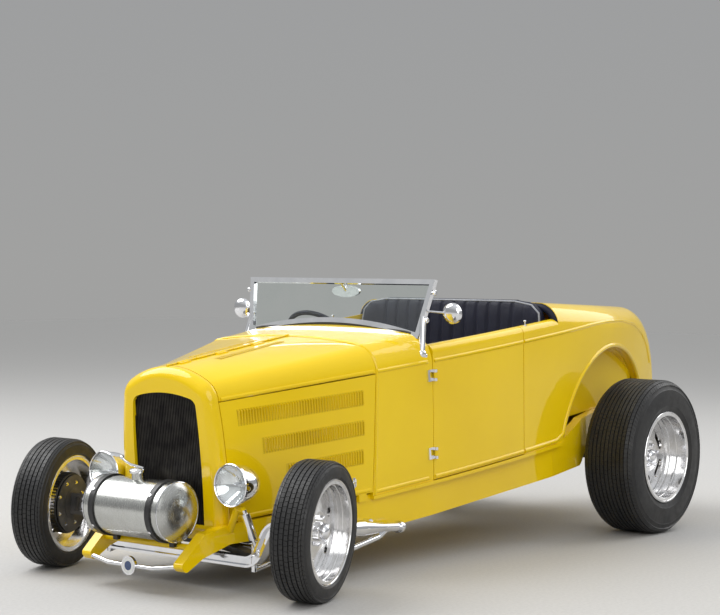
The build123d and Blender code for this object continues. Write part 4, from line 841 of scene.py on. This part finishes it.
def on_screen(across, up):
    """A place by its distance across and up the windshield."""
    return screen_foot + Vector((0, across, 0)) + screen_up * up


seal = []
for y in steps(-seal_half, seal_half, 28):
    under = on_screen(y, screen_arch * (1 - (y / screen_half) ** 2) - seal_drop)
    place = cowl_skin.ray_cast(Vector((under.x, y, 1.5)), Vector((0, 0, -1)))[0]
    if place:
        seal.append(place + Vector((0, 0, seal_lift)))
add_piece("screen_seal", tube(bmesh.new(), seal, seal_radius, 10), black_rubber, "chassis")
knobs = bmesh.new()
for _, sign in sides:
    for up in (0.075, 0.205):
        seat = on_screen(sign * (screen_half + screen_spread * up / screen_height + knob_out), up)
        turned(knobs, knob_profile, stand(seat, (0, sign, 0)), 24)
    for k in range(3):
        foot = spot(foot_place[0] - foot_step[0] * k, foot_place[1] * sign, foot_place[2] - foot_step[1] * k)
        size = (foot_size[0] - foot_shrink[0] * k, foot_size[1], foot_size[2] - foot_shrink[1] * k, 1)
        ball(knobs, Matrix.Translation(foot) @ Matrix.Diagonal(size), 1.0, 20, 12)
add_chrome("screen_knobs_and_feet", knobs)

# Mirrors: round chrome heads on slim arms from the windshield's ends, and an oval one under its top bar.
# The round heads are domed in front and hold a disc of glass that faces the driver, in a thin rim.
put_on(bright_chrome, nodes["mirrors"])
mirror_place = (-1.200, 0.640, 1.043)
dome_turns = (0.0, 0.3, 0.6, 0.9, 1.2, 1.45, math.pi / 2)
mirror_back = [(0.005 + 0.020 * math.cos(turn), 0.048 * math.sin(turn)) for turn in dome_turns]
mirror_back += [(0.0, 0.0485), (-0.008, 0.0485), (-0.008, 0.044)]
mirror_face = [(-0.0075, 0.0), (-0.0075, 0.0445), (-0.0085, 0.0445), (-0.0085, 0.0)]
mirror_backs = bmesh.new()
mirror_faces = bmesh.new()
for _, sign in sides:
    away = stand(spot(mirror_place[0], mirror_place[1] * sign, mirror_place[2]), body_ahead)
    turned(mirror_backs, mirror_back, away, 48)
    turned(mirror_faces, mirror_face, away, 48)
add_chrome("mirror_backs", mirror_backs)
add_piece("mirror_faces", mirror_faces, silvered, "chassis")

# Running gear: chromed axle, rods, shocks, pipes, hinges and bars, bolted together, with cast steel uprights
# and rear axle, a sprung steel leaf pack, a cast aluminium gearbox and an engine in dark enamel.
chromed = (
    "spreader_bar", "lid_hinge", "door_hinges", "steering_column", "driver_controls",
    "front_axle", "tie_rod", "radius_rods", "shock_absorbers", "exhausts",
)
cast = ("knuckle_left", "knuckle_right", "rear_axle", "drive_shaft")
cast_grey = mottled(
    "cast_steel_paint", (0.060, 0.060, 0.062, 1), (0.115, 0.105, 0.092, 1), (9.0, 6.0, 0.40, 0.72),
    sheen=(22.0, 3.0, 0.3, 0.7, 0.42, 0.62), grain=(240.0, 4.0, 0.25, 0.0008),
)
cast_grey.wear(metallic=cast_grey.fade(cast_grey.noise(9.0, 6.0), 0.40, 0.72, 0.55, 0.2))
sprung = mottled(
    "spring_enamel", (0.020, 0.020, 0.021, 1), (0.060, 0.055, 0.050, 1), (30.0, 5.0, 0.4, 0.75),
    sheen=(40.0, 3.0, 0.3, 0.7, 0.3, 0.5), grain=(200.0, 2.0, 0.1, 0.0004),
)
cast_alloy = mottled(
    "cast_aluminium", (0.50, 0.50, 0.50, 1), (0.24, 0.22, 0.20, 1), (6.0, 6.0, 0.45, 0.75),
    sheen=(30.0, 4.0, 0.3, 0.7, 0.42, 0.62), grain=(320.0, 3.0, 0.3, 0.0008), metallic=0.9,
)
engine_enamel = mottled(
    "engine_enamel", (0.018, 0.019, 0.022, 1), (0.050, 0.046, 0.042, 1), (8.0, 6.0, 0.4, 0.75),
    sheen=(18.0, 3.0, 0.3, 0.7, 0.35, 0.6), grain=(150.0, 4.0, 0.25, 0.0009),
)
put_on(bright_chrome, *[nodes[name] for name in chromed])
put_on(lacquer, nodes["hood_hinge"])
put_on(cast_grey, *[nodes[name] for name in cast])
put_on(sprung, nodes["front_spring"])
put_on(cast_alloy, nodes["gearbox"])
put_on(engine_enamel, nodes["engine_block"])


def hex_bolt(maker, place, axis, across, height):
    """Adds a bolt's head on a washer, its seat at a place and its axis outwards."""
    seat = stand(place, axis)
    turned(maker, [(-0.001, 0), (-0.001, across * 0.82), (0.0012, across * 0.82), (0.0012, 0)], seat, 18)
    hexagon(maker, seat @ lift(height / 2 + 0.001), across * 0.58, across * 0.54, height)


pipe_side = 0.540
pipe_from = (-0.41, 0.197)
pipe_to = (-0.85, 0.113)
pipe_cap_along = 0.458
pipe_bolt_circle = 0.016
pipe_bolts = 4
plate_bolt_circle = 0.098
plate_bolts = 8
pipe_cap_bolts = bmesh.new()
crosswise = Vector((0, 1, 0))
run = (spot(pipe_to[0], pipe_side, pipe_to[1]) - spot(pipe_from[0], pipe_side, pipe_from[1])).normalized()
for _, sign in sides:
    face = spot(pipe_from[0], pipe_side * sign, pipe_from[1]) + run * pipe_cap_along
    for k in range(pipe_bolts):
        turn = math.tau * (k + 0.5) / pipe_bolts
        aside = crosswise * math.cos(turn) + run.cross(crosswise) * math.sin(turn)
        hex_bolt(pipe_cap_bolts, face + aside * pipe_bolt_circle, run, 0.006, 0.005)
add_chrome("pipe_cap_bolts", pipe_cap_bolts)
for side, sign in sides:
    upright = skin(nodes["knuckle_" + side])
    hub = Vector(joints[f"front_{side}_roll"]["pos_m"])
    maker = bmesh.new()
    for k in range(plate_bolts):
        turn = math.tau * (k + 0.5) / plate_bolts
        x = hub.x + plate_bolt_circle * math.cos(turn)
        z = hub.z + plate_bolt_circle * math.sin(turn)
        place = upright.ray_cast(Vector((x, 0.2 * sign, z)), Vector((0, sign, 0)))[0]
        if place:
            hex_bolt(maker, place, (0, -sign, 0), 0.009, 0.006)
    add_chrome("plate_bolts_" + side, maker, side + "_knuckle")

# Hood louvres: the blades are pressed out of the hood's own steel. The hood has the body's lacquer with painted
# shade:
# a darker yellow and less clear coat along each row of blades, and darker still in the throat behind each blade.
louvre_pitch = 0.0136
side_rows = ((-0.080, -0.690, 0.690, 0.757), (-0.182, -0.690, 0.556, 0.622), (-0.292, -0.682, 0.427, 0.492))
top_row = (-0.210, -0.640, 0.062, 0.100)
end_margin = 0.006
edge_margin = 0.002
throat_painted_shade = 0.35
throat_from = 0.25


def louvre_finish(name, rows, row_painted_shade, by_side=False):
    """The lacquer with painted shade along rows of blades, told by distance and by height, or by side."""
    finish = Finish(name)
    x, y, z = finish.axes()
    ahead = x - front_axle_x
    u = ahead * math.cos(body_rake) - z * math.sin(body_rake)
    across = y.absolute() if by_side else z * math.cos(body_rake) + ahead * math.sin(body_rake)
    shade = 0.0
    for front, rear, low, high in rows:
        inside = (u < front + end_margin) * (u > rear - end_margin)
        inside = inside * (across > low - edge_margin) * (across < high + edge_margin)
        throat = ((u - rear) * (math.tau / louvre_pitch)).sine() > throat_from
        # Painted shade: the whole row darkens, and each blade's throat darker still.
        shade = inside * (throat * throat_painted_shade + row_painted_shade) + shade
    spray(finish, shade)
    return finish


louvred_side = louvre_finish("louvred_side_lacquer", side_rows, 0.25)
louvred_top = louvre_finish("louvred_top_lacquer", (top_row,), 0.65, by_side=True)
put_on(louvred_side, nodes["hood_side_left"], nodes["hood_side_right"])
put_on(louvred_top, nodes["hood_top_left"], nodes["hood_top_right"])

# Body fittings: a catch at the rear foot of each hood side, a lock button on each door's shoulder and a turn
# handle on the deck lid. All are cast, chromed and screwed through the panel.
catch_place = (-0.632, 0.350)
catch_size = (0.017, 0.046, 0.007)
catch_boss = [(0, 0), (0, 0.0075), (0.011, 0.0065), (0.013, 0.0)]
catch_bar = [(0, y, 0.011) for y in (-0.016, 0.0, 0.016)]
sharp_edge = 1.2
button_place = (-1.872, 0.600)
button_profile = [(-0.002, 0), (-0.002, 0.009), (0.002, 0.009), (0.003, 0.0042), (0.017, 0.0042)]
button_profile += [(0.019, 0.0075), (0.024, 0.0075), (0.027, 0.004), (0.0275, 0.0)]
handle_height = 0.86
handle_boss = [
    (-0.001, 0), (-0.001, 0.019), (0.003, 0.019), (0.006, 0.014), (0.007, 0.007), (0.024, 0.006), (0.024, 0),
]
handle_bar = [(0, y, 0.024 + 18.0 * y * y) for y in steps(-0.040, 0.040, 8)]


def rounded(maker, edges, size, facets):
    """Rounds a form's edges."""
    bmesh.ops.bevel(
        maker, geom=edges, offset=size, segments=facets, profile=0.5, affect="EDGES", material=-1
    )


catches = bmesh.new()
for side, sign in sides:
    panel = skin(nodes["hood_side_" + side])
    facing = stand(on_side(panel, *catch_place, sign, 0.0), (0, sign, 0))
    box(catches, facing, catch_size)
    turned(catches, catch_boss, facing, 20)
    tube(catches, [facing @ Vector(point) for point in catch_bar], 0.0035, 10)
sharp = [edge for edge in catches.edges if edge.is_manifold and edge.calc_face_angle() > sharp_edge]
rounded(catches, sharp, 0.0012, 2)
add_chrome("hood_catches", catches)
buttons = bmesh.new()
for _, sign in sides:
    seat = quarter.ray_cast(spot(button_place[0], button_place[1] * sign, 1.2), -body_up)[0]
    turned(buttons, button_profile, stand(seat, body_up), 24)
add_chrome("door_buttons", buttons)
seat, normal = skin(nodes["decklid"]).ray_cast(Vector((-3.2, 0, handle_height)), Vector((1, 0, 0)))[:2]
facing = stand(seat, normal, (0, 1, 0))
handle = turned(bmesh.new(), handle_boss, facing, 32)
tube(handle, [facing @ Vector(point) for point in handle_bar], 0.0055, 12)
add_chrome("lid_handle", handle, "rear_lid")

# Tail lamps: round chromed cups on short stalks, fixed to the frame rails' rear ends. Each holds a red
# pressed lens that is domed and ringed, in a thin rolled rim.
cup_place = (-3.545, 0.452, 0.300)
cup_depth = 0.024
lens_size = 0.029
lens_rings = 6
ring_height = 0.0009
tail_red = mottled(
    "tail_lamp_red", (0.42, 0.006, 0.004, 1), (0.60, 0.012, 0.008, 1), (160.0, 2.0, 0.3, 0.7),
    sheen=(40.0, 3.0, 0.3, 0.7, 0.06, 0.16), coat_weight=1.0,
)
put_on(bright_chrome, nodes["tail_lights"])
tail_lens = [
    (along + ring_height * (k % 2), r)
    for k, (along, r) in enumerate(dished(0.011, lens_size, lens_size, lens_rings * 2))
]
tail_lens += [(-0.001, lens_size), (-0.001, 0.0)]
tail_rims = bmesh.new()
tail_lenses = bmesh.new()
for _, sign in sides:
    cup = spot(cup_place[0], cup_place[1] * sign, cup_place[2])
    face = stand(cup - Vector((cup_depth, 0, 0)), (-1, 0, 0))
    turned(tail_rims, half_round(0.0, lens_size + 0.001, 0.0028, 12), face, 48)
    turned(tail_lenses, tail_lens, face, 48)
add_chrome("tail_rims", tail_rims)
add_piece("tail_lenses", tail_lenses, tail_red, "chassis", crease=60)

# Cabin trim: the doors, the quarters and the cowl's sides are lined with navy leather boards, and the floor
# and tunnel with cut-pile carpet. Each lining is clipped to the panel behind it.
leather = mottled(
    "navy_leather", (0.005, 0.006, 0.018, 1), (0.010, 0.012, 0.028, 1), (9.0, 6.0, 0.4, 0.75),
    sheen=(30.0, 4.0, 0.3, 0.7, 0.42, 0.58),
)
leather.feed(leather.shader.inputs["Specular IOR Level"], 0.28)
pores = leather.node(
    "ShaderNodeTexVoronoi", {"feature": "DISTANCE_TO_EDGE"}, {"Vector": leather.place(), "Scale": 420.0}
)
hide = leather.fade(pores, 0.0, 0.25) + leather.noise(9.0, 6.0) * 0.6
leather.wear(normal=leather.bump(hide, 0.3, 0.0008))
piping_leather = mottled(
    "pale_piping", (0.36, 0.37, 0.40, 1), (0.24, 0.25, 0.28, 1), (40.0, 4.0, 0.3, 0.7),
    grain=(500.0, 2.0, 0.2, 0.0004), roughness=0.5,
)
carpet = mottled(
    "cut_pile_carpet", (0.006, 0.007, 0.012, 1), (0.026, 0.028, 0.042, 1), (900.0, 3.0, 0.35, 0.7),
    grain=(900.0, 3.0, 0.9, 0.003), roughness=0.95,
)
board_rows = (
    ("door_board", "SIDE_door", "door_SIDE", (-1.165, -1.790), (0.315, 0.845)),
    ("quarter_board", "chassis", "rear_body", (-1.850, -1.950), (0.315, 0.845)),
    ("kick_board", "chassis", "cowl", (-0.800, -1.105), (0.400, 0.700)),
)
board_thick = 0.006
board_gap = 0.001
for side, sign in sides:
    for name, body, node, (front, rear), (low, high) in board_rows:
        tree = skin(nodes[node.replace("SIDE", side)])
        maker = bmesh.new()
        bmesh.ops.create_grid(maker, x_segments=12, y_segments=10, size=0.5)
        for corner in maker.verts:
            u = front + (rear - front) * (corner.co.x + 0.5)
            w = low + (high - low) * (corner.co.y + 0.5)
            place = tree.ray_cast(spot(u, 0.2 * sign, w), Vector((0, sign, 0)))[0]
            corner.co = (place or spot(u, 0.5 * sign, w)) - Vector((0, sign * (board_thick + board_gap), 0))
        face_out(maker)
        bmesh.ops.solidify(maker, geom=maker.faces, thickness=board_thick)
        face_out(maker)
        add_piece(f"{name}_{side}", maker, leather, body.replace("SIDE", side))

tunnel_level = 0.215
tunnel_radius = 0.150
tunnel_end = -1.405
floor_level = 0.272
pile = 0.005
carpet_width = 0.960
carpet_rows = steps(-0.790, tunnel_end, 7) + [tunnel_end - 0.001, -1.550]
last_row = len(carpet_rows) - 1
maker = bmesh.new()
bmesh.ops.create_grid(maker, x_segments=last_row, y_segments=72, size=0.5)
for corner in maker.verts:
    row = round((corner.co.x + 0.5) * last_row)
    y = carpet_width * corner.co.y
    over = (tunnel_radius + pile) ** 2 - y * y
    w = floor_level + pile
    if row < last_row - 1:
        w = max(w, tunnel_level + math.sqrt(max(over, 0.0)))
    corner.co = spot(carpet_rows[row], y, w)
face_out(maker)
add_piece("carpet", maker, carpet, "chassis")

# Dashboard: a painted steel panel with five round gauges let into it. Each has a chromed bezel, a white dial
# with plain ticks and a red pointer. The steering wheel's rim is leather over steel.
dash_face = -1.162
gauge_height = 0.795
large_gauge = 0.040
small_gauge = 0.028
gauge_rows = [(y, large_gauge) for y in (-0.375, -0.205)] + [(y, small_gauge) for y in (0.0, 0.085, 0.170)]
tick_count = 21
long_tick_every = 5
first_tick = -135
tick_turn = 13.5
tick_reach = 0.86
put_on(lacquer, nodes["dashboard"])
put_on(leather, nodes["steering_wheel"])
dial_white = mottled(
    "dial_face", (0.72, 0.71, 0.66, 1), (0.62, 0.61, 0.56, 1), (50.0, 3.0, 0.3, 0.7), roughness=0.45
)
pointer_red = mottled(
    "pointer_red", (0.55, 0.02, 0.015, 1), (0.45, 0.015, 0.01, 1), (90.0, 2.0, 0.3, 0.7), roughness=0.4
)
bezels = bmesh.new()
dials = bmesh.new()
ticks = bmesh.new()
pointers = bmesh.new()
for y, radius in gauge_rows:
    face = stand(spot(dash_face, y, gauge_height), -body_ahead)
    turned(bezels, half_round(0.003, radius, 0.0042, 12), face, 48)
    turned(dials, [(0.0005, 0.0), (0.0005, radius), (0.0015, radius), (0.0015, 0.0)], face, 40)
    for k in range(tick_count):
        turn = face @ Matrix.Rotation(math.radians(first_tick + tick_turn * k), 4, "Z")
        long = 0.20 if k % long_tick_every == 0 else 0.11
        tick = turn @ Matrix.Translation((radius * (tick_reach - long / 2), 0, 0.0019))
        box(ticks, tick, (radius * long, 0.0010, 0.0006))
    arm = face @ Matrix.Rotation(math.radians(-100 + 900 * abs(y)), 4, "Z")
    arm = arm @ Matrix.Translation((radius * 0.30, 0, 0.0032)) @ Matrix.Rotation(math.pi / 2, 4, "Y")
    hexagon(pointers, arm, 0.0013, 0.0004, radius * 0.72)
    turned(pointers, [(0.0015, 0), (0.0015, 0.0045), (0.0045, 0.004), (0.005, 0)], face, 20)
add_chrome("gauge_bezels", bezels)
add_piece("gauge_dials", dials, dial_white, "chassis")
add_piece("gauge_ticks", ticks, black_rubber, "chassis")
add_piece("gauge_pointers", pointers, pointer_red, "chassis")

# Seat: one wide bench with a tall back that fills the cockpit, in navy leather sewn into upright pleats,
# its edge piped in pale leather. The cushion rests on the floor, and the back against the rear panel.
bench = {"front": -1.562, "rear": -2.052, "half": 0.512, "low": 0.276, "high": 0.446}
back_rows = ((0.281, 0.537), (0.60, 0.556), (0.893, 0.570), (0.950, 0.560), (0.990, 0.512), (1.007, 0.410))
back_foot = (-1.962, 0.272)
back_head = (-2.080, 0.997)
back_slope = (back_head[0] - back_foot[0]) / (back_head[1] - back_foot[1])
back_rear = -2.133
pleat_pitch = 0.072
pleat_depth = 0.0075
pleat_width = 0.0075
pleated_half = 0.470
pleat_end = 0.02
voxel = 0.012
puff_cap = 0.008
swell_steps = 16
piping_radius = 0.0052


def bake_modifiers(piece):
    """Applies what modifiers a piece has to its mesh."""
    bpy.context.view_layer.update()
    shape = bpy.data.meshes.new_from_object(piece.evaluated_get(bpy.context.evaluated_depsgraph_get()))
    piece.modifiers.clear()
    piece.data = shape


def stuffed(name, shell):
    """Swells a closed shell as foam under its cover does, and gives it as an object with a fine mesh."""
    pad = put_in_scene(name, shell)
    remesh = pad.modifiers.new("even_mesh", "REMESH")
    remesh.mode = "VOXEL"
    remesh.voxel_size = voxel
    bake_modifiers(pad)
    rest = [corner.co.copy() for corner in pad.data.vertices]
    cloth = pad.modifiers.new("swell", "CLOTH")
    cloth.settings.use_pressure = True
    cloth.settings.uniform_pressure_force = 4.0
    cloth.settings.effector_weights.gravity = 0.0
    cloth.settings.tension_stiffness = 25
    cloth.settings.quality = 5
    for step in range(1, swell_steps + 1):
        bpy.context.scene.frame_set(step)
    bake_modifiers(pad)
    bpy.context.scene.frame_set(1)
    for corner, start in zip(pad.data.vertices, rest):
        moved = corner.co - start
        if moved.length > puff_cap:
            corner.co = start + moved.normalized() * puff_cap
    fine = pad.modifiers.new("fine", "SUBSURF")
    fine.levels = 1
    fine.render_levels = 1
    bake_modifiers(pad)
    put_on(leather, pad)
    return pad


def pleat(pad, facing):
    """Sews upright channels across a pad, where its cover faces a given way."""
    normals = [corner.normal.copy() for corner in pad.data.vertices]
    for corner, normal in zip(pad.data.vertices, normals):
        near = abs((corner.co.y / pleat_pitch) % 1.0 - 0.5) * pleat_pitch
        facing_share = max(0.0, normal.dot(facing))
        inside = min(1.0, max(0.0, (pleated_half - abs(corner.co.y)) / pleat_end))
        depth = pleat_depth * math.exp(-((near / pleat_width) ** 2)) * facing_share * inside
        corner.co -= normal * depth


def back_front(y, w, behind):
    """A place on the seat back's sloping front by its side and height, or a little behind it."""
    return spot(back_foot[0] + back_slope * (w - back_foot[1]) - behind, y, w)


shell = bmesh.new()
bmesh.ops.create_cube(shell, size=1.0)
middle_u = (bench["front"] + bench["rear"]) / 2
middle_w = (bench["low"] + bench["high"]) / 2
for corner in shell.verts:
    u = middle_u + corner.co.x * (bench["front"] - bench["rear"])
    w = middle_w + corner.co.z * (bench["high"] - bench["low"])
    corner.co = spot(u, corner.co.y * 2 * bench["half"], w)
half_way = spot(middle_u, 0, middle_w).dot(body_up)
top_edges = [edge for edge in shell.edges if all(corner.co.dot(body_up) > half_way for corner in edge.verts)]
rounded(shell, top_edges, 0.036, 5)
bench_pad = stuffed("bench_cushion", shell)
pleat(bench_pad, body_up)

shell = bmesh.new()
outline = [(half, w) for w, half in back_rows] + [(-half, w) for w, half in reversed(back_rows)]
front_face = shell.faces.new([shell.verts.new(back_front(y, w, 0.006)) for y, w in outline])
rear_face = shell.faces.new([shell.verts.new(spot(back_rear, y, w)) for y, w in reversed(outline)])
bmesh.ops.bridge_loops(shell, edges=list(front_face.edges) + list(rear_face.edges))
face_out(shell)
rounded(shell, list(front_face.edges), 0.020, 4)
back_pad = stuffed("bench_back", shell)
pleat(back_pad, Vector((1, 0, back_slope)).normalized())
for pad, node in ((bench_pad, "seat_base"), (back_pad, "seat_back")):
    smooth(pad)
    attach(pad, "chassis")
    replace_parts(pad, node)

cover = skin(back_pad)
rim_row = [(0.541, 0.46), (0.559, 0.70), (0.562, 0.88), (0.552, 0.940), (0.507, 0.982), (0.405, 0.999)]
rim_row = rim_row + [(y, 1.001) for y in steps(0.3, -0.3, 6)] + [(-y, w) for y, w in reversed(rim_row)]
piping = []
for y, w in rim_row:
    near, normal = cover.find_nearest(back_front(y, w, 0.010))[:2]
    piping.append(near + normal * 0.001)
add_piece("seat_piping", tube(bmesh.new(), piping, piping_radius, 10), piping_leather, "chassis")

# Cockpit roll: a padded leather roll that finishes the deck's front edge, behind the seat. It is tacked to
# the edge from quarter to quarter, bent round the shoulders and straight between them.
roll_radius = 0.0200
roll_arc = 0.093
roll_centre = (0.514, 0.870)
roll_u = -2.143
half_roll = [
    (roll_centre[0] + roll_arc * math.cos(turn), roll_centre[1] + roll_arc * math.sin(turn))
    for turn in steps(0.0, math.pi / 2, 8)
]
roll_row = half_roll + [(-y, w) for y, w in reversed(half_roll)]
roll = tube(bmesh.new(), [spot(roll_u, y, w) for y, w in roll_row], roll_radius, 14)
add_piece("cockpit_roll", roll, leather, "chassis")
